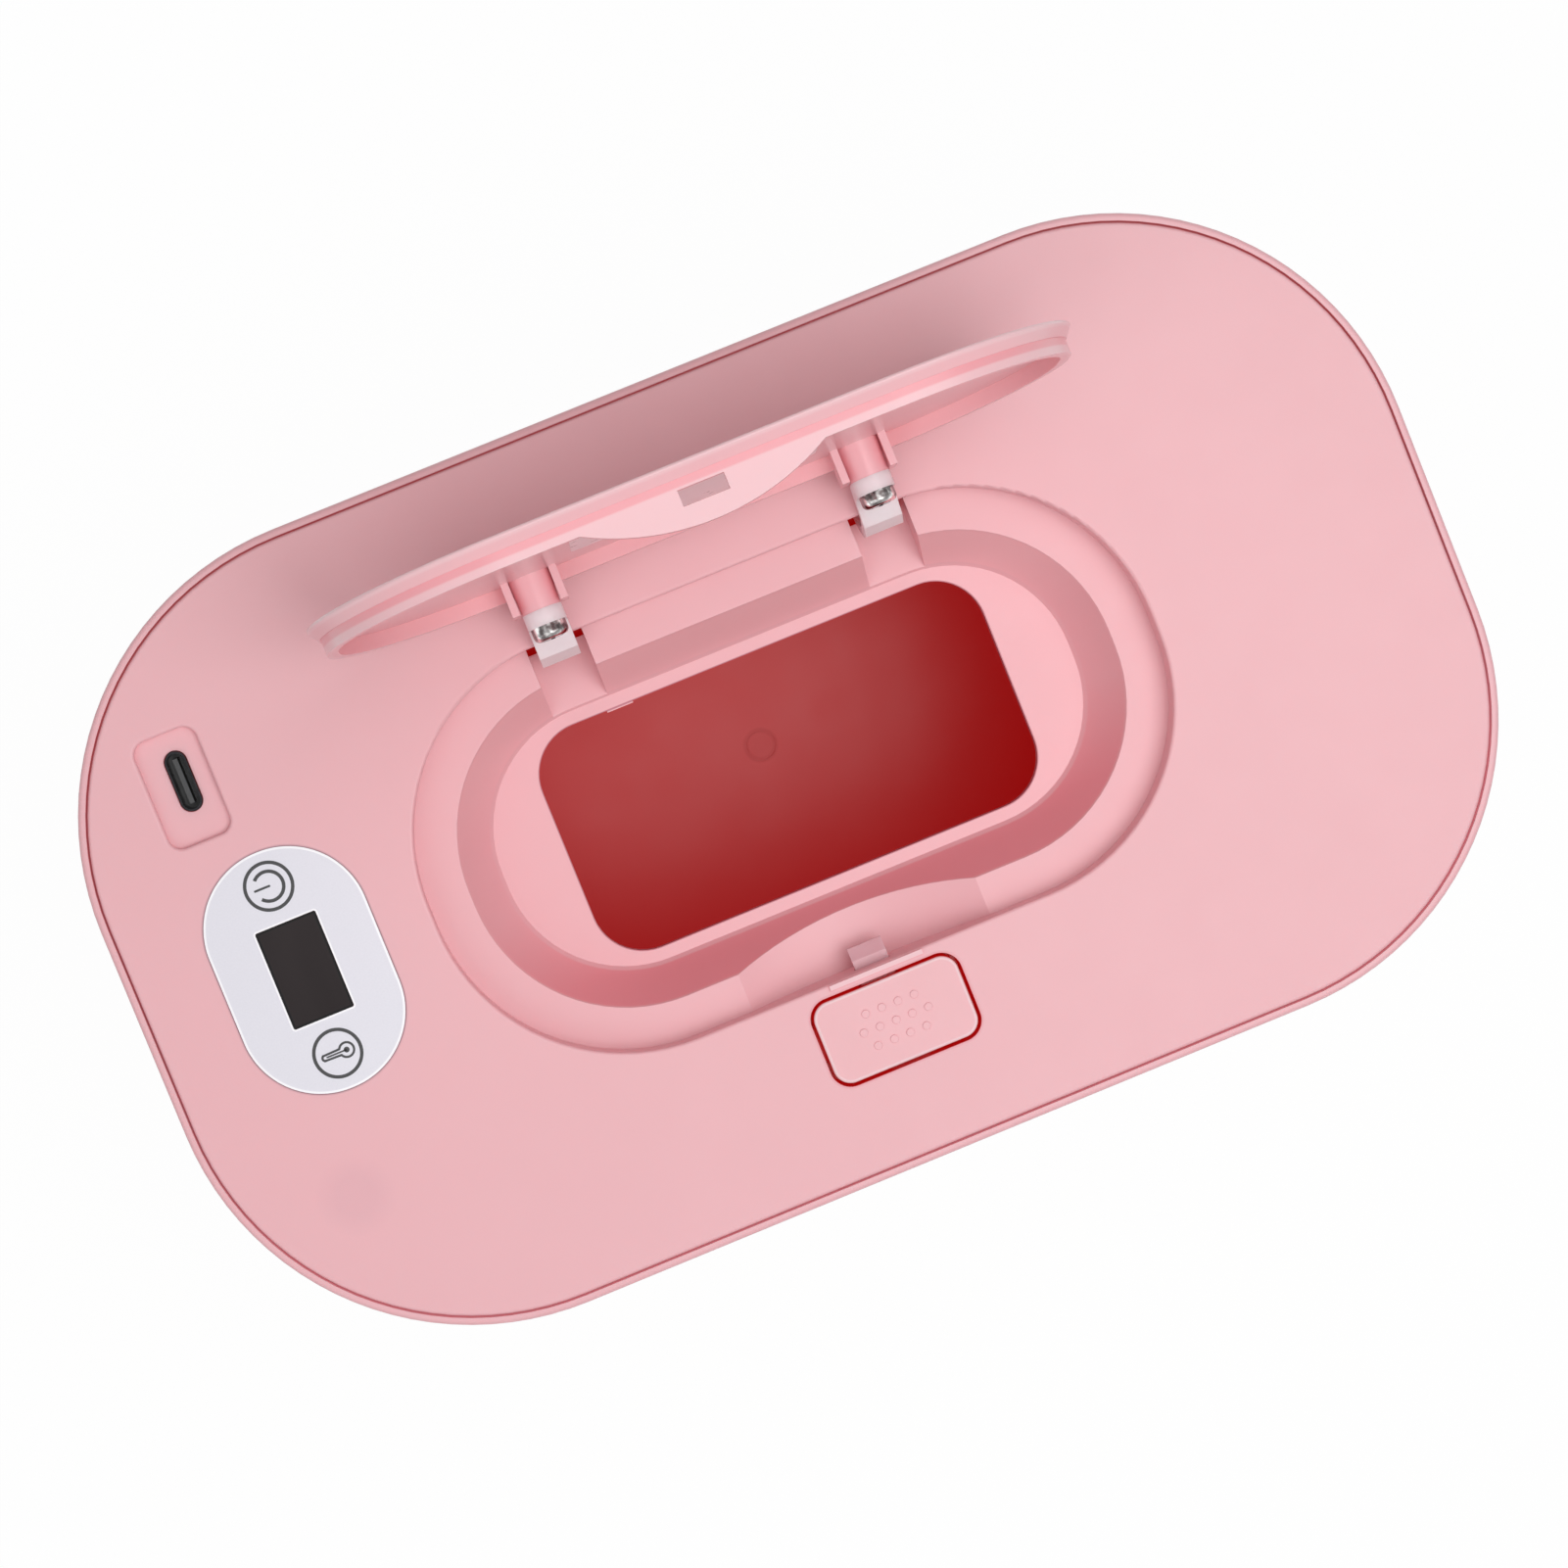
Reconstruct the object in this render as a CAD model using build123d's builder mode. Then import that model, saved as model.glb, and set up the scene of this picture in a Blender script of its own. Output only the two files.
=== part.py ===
from build123d import *
import os
from math import atan, cos, degrees, radians, sin

# Baby wipe warmer, in millimetres. The origin is the middle of the surface it stands on, +Z is up,
# the hinge of the lid is on the +Y side and the release button on the -Y side. The lid stands open.

# ---- Overall ----
length = 200.0
width = 119.2
height = 90.0                 # standing surface to the top of the panel
end_flat = 31.2               # straight part of each end
draft_angle = 3.0             # the side walls lean inwards towards the base

# ---- Tub ----
tub_wall = 2.8
tub_floor = 3.0
base_round = 10.0
floor_round = 7.0
rim_width = 1.1               # flat top of the rim around the cover
rim_band = 3.0                # upright band below the rim
rim_round = 0.7
gate_mark_radius = 2.5
gate_mark_width = 0.3
gate_mark_depth = 0.3

# ---- Feet ----
foot_radius = 6.0
foot_height = 1.2             # stands proud of the base
foot_seat = 1.0               # sunk into the base
foot_round = 0.5
foot_inset_x = 38.0           # foot centres from the ends
foot_inset_y = 29.6           # and from the sides
foot_clearance = 0.1

# ---- Cover: top panel, seal and tray ----
cover_gap = 0.25              # panel edge to the tub's rim
panel_thickness = 2.0
panel_round = 0.5
seal_thickness = 0.8
seal_edge = 0.15              # seal stays inside the panel's edge
cover_depth = 20.4            # panel top to the underside of the tray
tray_wall = 1.8
tray_floor = 2.0
tray_gap = 0.5                # tray to the inside of the tub
tray_round = 1.5

# ---- Lid recess in the panel ----
recess_end = 44.25            # recess to each end of the box
recess_side = 29.3            # recess to each side of the box
recess_flat = 3.4             # straight part of the recess's ends
recess_round = 0.5
ledge_depth = 4.8
ledge_end = 5.95              # ledge round the well, at the ends
ledge_side = 5.7
ledge_corner = 5.2
well_inset = 5.2              # the wall below the ledge slopes inwards by this much
well_depth = 13.6
bowl_wall = 1.8
bowl_floor = 2.0
floor_end = 9.9               # floor of the well beside the opening
floor_side = 1.95
opening_radius = 7.6
chute_setback = 1.0           # chute wall behind the opening's lip
chute_wall = 1.2
scoop_chord = 37.0            # round dip in the ledge for the lid's catch
scoop_depth = 4.4
lip_gate_width = 4.0          # trimmed moulding gate on the opening's lip
lip_gate_reach = 0.3
lip_gate_x = -19.6

# ---- Hinge ----
hinge_end = 30.85             # each arm from the recess's end
pivot_setback = 6.3           # pivot behind the recess
pivot_drop = 4.4              # pivot below the panel's top
open_angle = 95.0
pocket_width = 8.6
pocket_depth = 13.0
pocket_floor_lip = 1.3        # the pocket's floor ends this far before its back wall
pocket_slot_drop = 8.0        # the back wall of the pocket ends here
arm_width = 5.8
arm_thickness = 1.7
arm_radius = 9.85             # outer corners of the neck around the pivot
neck_angles = (243.0, 264.0, 285.0, 307.0, 329.0, 341.0)
spoke_angle = 335.0
spoke_width = 2.4
hub_radius = 2.1
pin_radius = 0.9
pin_fit = 0.02                # pin to ear
hub_fit = 0.05                # pin to hub
pin_head_radius = 1.6
pin_head_height = 0.6
ear_width = 1.8
ear_length = 5.2
ear_drop = 7.2
ear_gap = 0.15
hinge_spring_width = 2.2
hinge_spring_turns = 3.17
hinge_spring_radius = 1.65
hinge_spring_wire = 0.25
hinge_spring_leg = 4.0

# ---- Lid ----
lid_gap = 0.45
lid_thickness = 2.0
lid_round = 0.4
lid_bevel_height = 1.5        # underside bevel that clears the panel as the lid swings
lid_bevel_width = 1.15
skirt_inset = 1.35
skirt_thickness = 1.6
skirt_depth = 2.2
tab_chord = 34.1
tab_depth = 4.4
tab_bevel = 0.8
tab_slot_width = 6.5
tab_slot_height = 2.3
tab_slot_drop = 3.4
boss_reach = 11.6             # boss in front of the pivot, lid closed
boss_radius = 3.05
boss_taper = 2.0
boss_length = 5.15
boss_pilot_radius = 1.1
boss_pilot_depth = 4.6
fin_thickness = 1.1
fin_length = 6.0
fin_setback = 0.2             # fins end this far short of the boss
sticker_length = 36.4
sticker_width = 32.0
sticker_radius = 1.0
sticker_y = -2.0
sticker_thickness = 0.1

# ---- Hinge screws ----
eye_thickness = 2.25
eye_radius = 2.9
eye_hole_radius = 1.35
hinge_screw_head_radius = 2.6
hinge_screw_head_height = 2.05
hinge_screw_head_round = 0.9
hinge_screw_shank = 5.8
driver_slot_length = 2.9
driver_slot_width = 0.6
driver_slot_depth = 1.1
thread_gap = 0.02

# ---- Release button ----
button_length = 22.2
button_width = 12.4
button_radius = 2.6
button_setback = 8.4          # middle of the button from the recess
button_gap = 0.5
button_top = 1.2
button_skirt = 5.5
button_wall = 1.2
button_round = 0.35
button_travel = 2.0
button_notch_width = 6.2
frame_wall = 1.2
frame_drop = 6.5
hook_height = 0.8
hook_reach = 0.8
hook_length = 5.0
hook_gap = 0.1
bump_radius = 0.6
bump_height = 0.18
bump_pitch = 2.5
bump_row_pitch = 2.45
bump_rows = (4, 5, 4)
post_width = 2.6
post_offset = 0.4             # front of the post from the middle of the button
post_tip = 0.8
post_drop = 6.6
post_ramp_height = 2.0
button_spring_x = 7.6
button_spring_radius = 2.0
button_spring_wire = 0.28
button_spring_turns = 6
spring_seat_radius = 1.4
spring_seat_height = 1.5
ridge_length = 14.3           # moulded ridge between the recess and the button
ridge_width = 0.7
ridge_height = 0.45
ridge_setback = 0.6

# ---- Latch ----
latch_ratio = 1.5             # bolt travel for each millimetre of button travel
bolt_width = 5.2
bolt_top = 3.7
bolt_height = 1.8
bolt_reach = 3.1              # tip stands out of the recess wall
bolt_gap = 0.15
bolt_ramp_length = 1.8
bolt_ramp_height = 1.1
slider_width = 5.8
slider_setback = 4.2          # slider and guide from the recess
slider_length = 11.5
slider_wall = 1.1
slider_clearance = 0.1
ramp_clearance = 0.06
latch_spring_radius = 1.9
latch_spring_wire = 0.25
latch_spring_turns = 5
spigot_radius = 1.2
spigot_length = 1.0
guide_top = 9.8               # below the panel's top
guide_thickness = 1.2
guide_half_width = 13.4
guide_setback = 2.1
guide_wall = 1.2
guide_back_gap = 2.9          # tray's wall to the front of the guide's back wall
guide_rail_height = 3.0
guide_rail_length = 3.2
guide_front_rail_height = 1.8
guide_screw_x = 9.6
guide_screw_inset = 2.3       # from the guide's back wall
guide_boss_radius = 2.2
guide_screw_radius = 0.9
guide_screw_head_radius = 1.9
guide_screw_head_height = 1.1
guide_screw_length = 6.0

# ---- Cover screws ----
corner_screw_end = 34.0       # screw centres from the ends and sides of the box
corner_screw_side = 13.1
end_screw_inset = 10.0
boss_clearance = 0.3          # bosses under the panel stay this far inside the tray
boss_outer_radius = 3.0
boss_drop = 14.0
pillar_radius = 4.2
screw_radius = 1.15
screw_clearance_radius = 1.6
screw_head_radius = 2.6
screw_head_height = 1.6
screw_head_gap = 0.3
screw_seat_depth = 4.0        # counterbore below the pillar's top face, from the tray's underside
screw_length = 9.0

# ---- Heater in the tray ----
plate_end = 26.7              # plate to the ends and sides of the tray
plate_side = 14.3
plate_radius = 14.0
plate_thickness = 1.3
plate_ledge = 3.0             # tray floor under the plate's edge
plate_gap = 0.3
plate_rib = 1.2
plate_rib_height = 2.4
film_thickness = 0.3
film_inset = 2.0
chute_gap = 0.6               # plate to the chute
pad_window_length = 10.0
pad_window_width = 44.0
sensor_length = 5.0
sensor_width = 5.0
sensor_height = 2.2
fuse_radius = 1.6
fuse_length = 7.0
fuse_lead_radius = 0.4
fuse_lead_length = 1.6
fuse_y = -17.0

# ---- Control board, display and touch pads ----
label_end = 24.6              # middle of the label from the end of the box
label_length = 36.4           # along Y
label_width = 24.0
label_radius = 11.8
label_thickness = 0.3
label_gap = 0.12              # label to the edge of its seat
icon_gap = 3.55               # icons from the display's module
display_length = 14.6         # along Y
display_width = 9.0
display_radius = 0.2
display_gap = 0.1
module_length = 18.6
module_width = 12.4
board_past_usb = 6.2          # board runs on past the inlet and past the label
board_past_label = 5.8
board_width = 25.0
board_radius = 3.0
board_offset = 1.9            # middle of the board from the label's middle
board_thickness = 1.6
board_drop = 8.0              # top of the board below the panel's top
standoff_radius = 2.2
standoff_spacing_x = 21.0
standoff_spacing_y = 41.0
board_screw_radius = 1.0
board_screw_head_radius = 1.9
board_screw_head_height = 1.2
board_screw_length = 5.5
touch_spring_radius = 2.6
touch_spring_wire = 0.25
touch_spring_turns = 4
chips = (                     # length, width, height, and place on the board
    (7.0, 7.0, 1.6, -8.0, -2.0),
    (5.0, 4.0, 1.4, -4.0, 14.0),
    (4.4, 6.4, 1.2, 6.0, 22.0),
)
connector_length = 6.0
connector_width = 4.5
connector_height = 4.0
connector_offset = 8.4        # connectors from the label's middle
connector_y = 10.0
wire_radius = 0.6
wire_pitch = 2.0
wire_bend = 1.6
wire_reach = 5.0              # level run of a wire

# ---- USB inlet ----
usb_offset = 5.7              # inlet from the label's middle
usb_label_gap = 4.2           # inlet's recess to the label
usb_recess_shift_x = 0.45     # recess off the inlet's centre
usb_recess_shift_y = 0.8
usb_recess_width = 9.3
usb_recess_length = 16.2
usb_recess_radius = 2.0
usb_recess_depth = 1.3
usb_recess_round = 0.5
usb_seat_wall = 1.0
usb_length = 8.94             # outside of the shell, along Y
usb_width = 3.16
usb_shell_wall = 0.3
usb_shell_gap = 0.12
usb_drop = 0.9                # mouth below the panel's top
usb_tongue_length = 6.7
usb_tongue_width = 0.7
usb_tongue_drop = 0.6         # tongue below the mouth
usb_base_height = 2.4

# ---- Worked out from the sizes above ----
corner_radius = (width - end_flat) / 2
tub_base_z = foot_height
tub_floor_z = tub_base_z + tub_floor
seat_z = height - panel_thickness - seal_thickness
panel_under_z = height - panel_thickness
tray_under_z = height - cover_depth
tray_floor_z = tray_under_z + tray_floor
ledge_z = height - ledge_depth
well_z = height - well_depth
bowl_under_z = well_z - bowl_floor
pivot_z = height - pivot_drop
panel_inset = rim_width + cover_gap
cavity_length = length - 2 * tub_wall
cavity_width = width - 2 * tub_wall
cavity_radius = corner_radius - tub_wall
tray_length = cavity_length - 2 * tray_gap
tray_width = cavity_width - 2 * tray_gap
tray_radius = cavity_radius - tray_gap
recess_length = length - 2 * recess_end
recess_width = width - 2 * recess_side
recess_radius = (recess_width - recess_flat) / 2
recess_back_y = recess_width / 2
well_length = recess_length - 2 * ledge_end
well_width = recess_width - 2 * ledge_side
well_radius = recess_radius - ledge_corner
opening_length = well_length - 2 * (well_inset + floor_end)
opening_width = well_width - 2 * (well_inset + floor_side)
hinge_x = recess_length / 2 - hinge_end
pivot_y = recess_back_y + pivot_setback
boss_y = pivot_y - boss_reach
pocket_slot_y = recess_back_y - pocket_floor_lip
button_y = -recess_back_y - button_setback
post_front_y = button_y - post_offset
ridge_y = -recess_back_y - ridge_setback
slider_front_y = -recess_back_y - slider_setback
guide_front_y = -recess_back_y - guide_setback
guide_back_y = guide_back_gap + tray_wall - tray_width / 2
guide_screw_y = guide_back_y + guide_screw_inset
plate_length = tray_length - 2 * plate_end
plate_width = tray_width - 2 * plate_side
label_x = label_end - length / 2
icon_y = module_length / 2 + icon_gap
usb_x = label_x - usb_offset
usb_recess_x = usb_x - usb_recess_shift_x
usb_recess_y = label_length / 2 + usb_label_gap + usb_recess_length / 2
usb_y = usb_recess_y + usb_recess_shift_y
board_x = label_x + board_offset
board_end_y = usb_y + board_past_usb
board_start_y = -label_length / 2 - board_past_label
board_y = (board_end_y + board_start_y) / 2
board_length = board_end_y - board_start_y
connector_x = label_x + connector_offset
pad_window_x = connector_x + wire_reach
well_slope = degrees(atan(well_inset / (well_depth - ledge_depth)))
lid_length = recess_length - 2 * lid_gap
lid_width = recess_width - 2 * lid_gap
lid_radius = recess_radius - lid_gap
plate_z = tray_floor_z
film_z = plate_z + plate_thickness
pad_z = film_z + film_thickness
board_top_z = height - board_drop
board_under_z = board_top_z - board_thickness
guide_z = height - guide_top
bolt_travel = button_travel * latch_ratio
screw_spots = [(sx * (length / 2 - corner_screw_end), sy * (width / 2 - corner_screw_side))
               for sx in (-1, 1) for sy in (-1, 1)]
screw_spots += [(sx * (length / 2 - end_screw_inset), 0) for sx in (-1, 1)]
foot_spacing_x = length - 2 * foot_inset_x
foot_spacing_y = width - 2 * foot_inset_y
standoff_grid = GridLocations(standoff_spacing_x, standoff_spacing_y, 2, 2).locations

os.makedirs("parts", exist_ok=True)


def finish(piece, name):
    """Label a finished sub-part and write its STEP file."""
    piece.part.label = name
    export_step(piece.part, f"parts/{name}.step")


def outline(plane, size_x, size_y, radius, centre=(0, 0)):
    """Rounded rectangle on a plane, ready to extrude."""
    with BuildSketch(plane) as face:
        with Locations(centre):
            RectangleRounded(size_x, size_y, radius)
    return face.sketch


def level(z):
    return Plane.XY.offset(z)


def on_lid(plane):
    """The same plane, carried round the pivot to where the open lid stands."""
    swing = Location((0, pivot_y, pivot_z)) * Location((0, 0, 0), (-open_angle, 0, 0))
    return Plane(swing * Location((0, -pivot_y, -pivot_z)) * plane.location)


def coil(start, direction, height_along, mean_radius, wire, turns):
    """Round-wire coil along a direction, added to the part being built."""
    with BuildLine() as path:
        Helix(height_along / turns, height_along, mean_radius, center=start, direction=direction)
    with BuildSketch(Plane(path.line ^ 0)) as section:
        Circle(wire)
    sweep(section.sketch, path=path.line, is_frenet=True)


def screw(seat, head_radius, head_height, head_round, shank_radius, shank_length, driver):
    """Pan-head screw: seat is the plane under the head, and its normal points out of the head."""
    with BuildSketch(seat) as head:
        Circle(head_radius)
    extrude(head.sketch, amount=head_height)
    crown = edges(Select.LAST).sort_by(Axis(seat.origin, seat.z_dir))[-1]
    fillet(crown, head_round)
    with BuildSketch(seat) as shank:
        Circle(shank_radius)
    extrude(shank.sketch, amount=-shank_length)
    with BuildSketch(seat.offset(head_height)) as cross:
        Rectangle(driver[0], driver[1])
        Rectangle(driver[1], driver[0])
    extrude(cross.sketch, amount=-driver[2], mode=Mode.SUBTRACT)


# ======== Tub ========
with BuildPart() as tub:
    extrude(outline(level(height), length, width, corner_radius), amount=-rim_band)
    extrude(outline(level(height - rim_band), length, width, corner_radius),
            amount=-(height - rim_band - tub_base_z), taper=draft_angle)
    fillet(tub.faces().sort_by(Axis.Z)[0].edges(), base_round)
    fillet(tub.faces().sort_by(Axis.Z)[-1].edges(), rim_round)
    extrude(outline(level(seat_z), cavity_length, cavity_width, cavity_radius),
            amount=-(seat_z - tub_floor_z), taper=draft_angle, mode=Mode.SUBTRACT)
    inner_floor = tub.faces().filter_by(Plane.XY).sort_by(Axis.Z)[1]
    fillet(inner_floor.edges(), floor_round)
    extrude(outline(level(seat_z), length - 2 * rim_width, width - 2 * rim_width,
                    corner_radius - rim_width),
            amount=height - seat_z, mode=Mode.SUBTRACT)
    with BuildSketch(level(tub_base_z)):
        with GridLocations(foot_spacing_x, foot_spacing_y, 2, 2):
            Circle(foot_radius + foot_clearance)
    extrude(amount=foot_seat, mode=Mode.SUBTRACT)
    with BuildSketch(level(tub_floor_z)):
        Circle(gate_mark_radius)
        Circle(gate_mark_radius - gate_mark_width, mode=Mode.SUBTRACT)
    extrude(amount=-gate_mark_depth, mode=Mode.SUBTRACT)
finish(tub, "tub")

with BuildPart() as tub_feet:
    with BuildSketch(level(0)):
        with GridLocations(foot_spacing_x, foot_spacing_y, 2, 2):
            Circle(foot_radius)
    extrude(amount=foot_height + foot_seat)
    fillet(tub_feet.edges().group_by(Axis.Z)[0], foot_round)
finish(tub_feet, "tub_feet")

# ======== Cover panel ========
wall_run = bowl_wall / cos(radians(well_slope))          # sloped wall measured level
scoop_radius = ((scoop_chord / 2) ** 2 + scoop_depth ** 2) / (2 * scoop_depth)
scoop_axis_z = ledge_z - scoop_depth + scoop_radius
recess_front = Plane.XZ.offset(recess_back_y)
slot_length = button_length + 2 * button_gap
slot_width = button_width + 2 * button_gap
slot_radius = button_radius + button_gap
hub_end = arm_width / 2 + ear_gap                        # hub side of each ear, from the arm's middle
spring_ear = hub_end + hinge_spring_width + 2 * ear_gap

with BuildPart() as cover_panel:
    extrude(outline(level(height), length - 2 * panel_inset, width - 2 * panel_inset,
                    corner_radius - panel_inset),
            amount=-panel_thickness)
    fillet(cover_panel.faces().sort_by(Axis.Z)[-1].edges(), panel_round)
    # outside of the bowl that holds the lid, its catch and its hinge pockets
    extrude(outline(level(panel_under_z), recess_length + 2 * bowl_wall, recess_width + 2 * bowl_wall,
                    recess_radius + bowl_wall),
            amount=-(ledge_depth + bowl_wall - panel_thickness))
    extrude(outline(level(ledge_z), well_length + 2 * wall_run, well_width + 2 * wall_run,
                    well_radius + wall_run),
            amount=-(ledge_z - bowl_under_z), taper=well_slope)
    with BuildSketch(recess_front.offset(bowl_wall)):
        with Locations((0, scoop_axis_z)):
            Circle(scoop_radius + bowl_wall)
        with Locations((0, panel_under_z)):
            Rectangle(length, height, align=(Align.CENTER, Align.MAX), mode=Mode.INTERSECT)
    extrude(amount=-(bowl_wall + recess_back_y - well_width / 2 + well_inset))
    with BuildSketch(level(panel_under_z)):
        with Locations((-hinge_x, recess_back_y + bowl_wall), (hinge_x, recess_back_y + bowl_wall)):
            Rectangle(pocket_width + 2 * bowl_wall, recess_back_y + bowl_wall - opening_width / 2,
                      align=(Align.CENTER, Align.MAX))
    extrude(amount=-(pocket_depth + bowl_wall - panel_thickness))
    extrude(outline(level(bowl_under_z), opening_length + 2 * (chute_setback + chute_wall),
                    opening_width + 2 * (chute_setback + chute_wall),
                    opening_radius + chute_setback + chute_wall),
            amount=-(bowl_under_z - tray_under_z))
    # frame of the release button, thick seat of the USB inlet, and the screw bosses
    extrude(outline(level(panel_under_z), slot_length + 2 * frame_wall, slot_width + 2 * frame_wall,
                    slot_radius + frame_wall, (0, button_y)),
            amount=-(frame_drop - panel_thickness))
    extrude(outline(level(panel_under_z), usb_recess_width + 2 * usb_seat_wall,
                    usb_recess_length + 2 * usb_seat_wall, usb_recess_radius + usb_seat_wall,
                    (usb_recess_x, usb_recess_y)),
            amount=-usb_recess_depth)
    with BuildSketch(level(panel_under_z)):
        with Locations(*screw_spots):
            Circle(boss_outer_radius)
    extrude(amount=-(boss_drop - panel_thickness))
    with BuildSketch(level(panel_under_z)):
        with Locations((board_x, 0)):
            with Locations(*standoff_grid):
                Circle(standoff_radius)
    extrude(amount=-(board_drop - panel_thickness))
    with BuildSketch(level(panel_under_z)):
        with Locations((-guide_screw_x, guide_screw_y), (guide_screw_x, guide_screw_y)):
            Circle(guide_boss_radius)
    extrude(amount=-(guide_top - panel_thickness))
    # nothing under the panel reaches the tray's wall
    tray_room = tray_wall + boss_clearance
    with BuildSketch(level(panel_under_z)) as trim:
        Rectangle(length, width)
        RectangleRounded(tray_length - 2 * tray_room, tray_width - 2 * tray_room, tray_radius - tray_room,
                         mode=Mode.SUBTRACT)
    extrude(amount=-cover_depth, mode=Mode.SUBTRACT)
    # ears that carry the hinge pins
    for side in (-1, 1):
        for near, far in ((hub_end, hub_end + ear_width), (-spring_ear, -spring_ear - ear_width)):
            with BuildSketch(Plane.YZ.offset(side * (hinge_x + near))) as ear:
                with Locations((pivot_y, panel_under_z)):
                    Rectangle(ear_length, ear_drop - panel_thickness, align=(Align.CENTER, Align.MAX))
                fillet(ear.vertices().group_by(Axis.Z)[0], ear_length / 4)
            extrude(amount=side * (far - near))
    # inside of the bowl
    extrude(outline(level(height), recess_length, recess_width, recess_radius),
            amount=-ledge_depth, mode=Mode.SUBTRACT)
    extrude(outline(level(ledge_z), well_length, well_width, well_radius),
            amount=-(well_depth - ledge_depth), taper=well_slope, mode=Mode.SUBTRACT)
    extrude(outline(level(well_z), opening_length, opening_width, opening_radius),
            amount=-bowl_floor, mode=Mode.SUBTRACT)
    extrude(outline(level(bowl_under_z), opening_length + 2 * chute_setback,
                    opening_width + 2 * chute_setback, opening_radius + chute_setback),
            amount=-(bowl_under_z - tray_under_z), mode=Mode.SUBTRACT)
    with BuildSketch(level(well_z)):
        with Locations((lip_gate_x, opening_width / 2)):
            Rectangle(lip_gate_width, 2 * lip_gate_reach)
    extrude(amount=-bowl_floor)
    with BuildSketch(recess_front):
        with Locations((0, scoop_axis_z)):
            Circle(scoop_radius)
    extrude(amount=-(recess_back_y - well_width / 2 + well_inset), mode=Mode.SUBTRACT)
    with BuildSketch(level(height)):
        with Locations((-hinge_x, recess_back_y), (hinge_x, recess_back_y)):
            Rectangle(pocket_width, recess_back_y - opening_width / 2 - chute_setback,
                      align=(Align.CENTER, Align.MAX))
    extrude(amount=-pocket_depth, mode=Mode.SUBTRACT)
    with BuildSketch(level(height - pocket_slot_drop)):
        with Locations((-hinge_x, pocket_slot_y), (hinge_x, pocket_slot_y)):
            Rectangle(pocket_width, recess_back_y + 2 * bowl_wall - pocket_slot_y,
                      align=(Align.CENTER, Align.MIN))
    extrude(amount=-(pocket_depth + 2 * bowl_wall - pocket_slot_drop), mode=Mode.SUBTRACT)
    # button slot, the bolt's window and the slider's gap in the frame
    extrude(outline(level(height), slot_length, slot_width, slot_radius, (0, button_y)),
            amount=-frame_drop, mode=Mode.SUBTRACT)
    with BuildSketch(recess_front):
        with Locations((0, height - bolt_top + bolt_gap)):
            Rectangle(bolt_width + 2 * bolt_gap, bolt_height + 2 * bolt_gap, align=(Align.CENTER, Align.MAX))
    extrude(amount=bowl_wall + frame_wall, mode=Mode.SUBTRACT)
    with BuildSketch(Plane.XZ.offset(-button_y + slot_width / 2)):
        with Locations((0, height - bolt_top + bolt_gap)):
            Rectangle(button_notch_width, frame_drop, align=(Align.CENTER, Align.MAX))
    extrude(amount=frame_wall, mode=Mode.SUBTRACT)
    # USB inlet, label seat and display window
    extrude(outline(level(height), usb_recess_width, usb_recess_length, usb_recess_radius,
                    (usb_recess_x, usb_recess_y)),
            amount=-usb_recess_depth, mode=Mode.SUBTRACT)
    with BuildSketch(level(height)):
        with Locations(Location((usb_x, usb_y, 0), (0, 0, 90))):
            SlotOverall(usb_length + 2 * usb_shell_gap, usb_width + 2 * usb_shell_gap)
    extrude(amount=-(panel_thickness + usb_recess_depth), mode=Mode.SUBTRACT)
    extrude(outline(level(height), label_width, label_length, label_radius, (label_x, 0)),
            amount=-label_thickness, mode=Mode.SUBTRACT)
    extrude(outline(level(height), display_width + 2 * display_gap, display_length + 2 * display_gap,
                    display_radius + display_gap, (label_x, 0)),
            amount=-panel_thickness, mode=Mode.SUBTRACT)
    # pilot holes
    with BuildSketch(level(height - boss_drop)):
        with Locations(*screw_spots):
            Circle(screw_radius + thread_gap)
    extrude(amount=boss_drop - 2 * panel_thickness, mode=Mode.SUBTRACT)
    with BuildSketch(level(board_top_z)):
        with Locations((board_x, 0)):
            with Locations(*standoff_grid):
                Circle(board_screw_radius + thread_gap)
    extrude(amount=board_drop - 2 * panel_thickness, mode=Mode.SUBTRACT)
    with BuildSketch(level(guide_z)):
        with Locations((-guide_screw_x, guide_screw_y), (guide_screw_x, guide_screw_y)):
            Circle(guide_screw_radius + thread_gap)
    extrude(amount=guide_top - 2 * panel_thickness, mode=Mode.SUBTRACT)
    with BuildSketch(Plane.YZ.offset(-length / 2)):
        with Locations((pivot_y, pivot_z)):
            Circle(pin_radius + pin_fit)
    extrude(amount=length, mode=Mode.SUBTRACT)
    # soft edges around the recess and the USB inlet
    panel_top = max(cover_panel.faces().filter_by(Plane.XY), key=lambda face: face.center().Z * face.area)
    rings = sorted(panel_top.inner_wires(), key=lambda ring: ring.bounding_box().size.X)
    fillet(rings[-1].edges(), recess_round)
    usb_centre = Vector(usb_recess_x, usb_recess_y, height)
    usb_ring = min(rings, key=lambda ring: (ring.center() - usb_centre).length)
    fillet(usb_ring.edges(), usb_recess_round)
    # moulded ridge beside the button
    with BuildSketch(level(height)):
        with Locations((0, ridge_y)):
            Rectangle(ridge_length, ridge_width)
    extrude(amount=ridge_height, both=True)
finish(cover_panel, "cover_panel")

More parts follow.
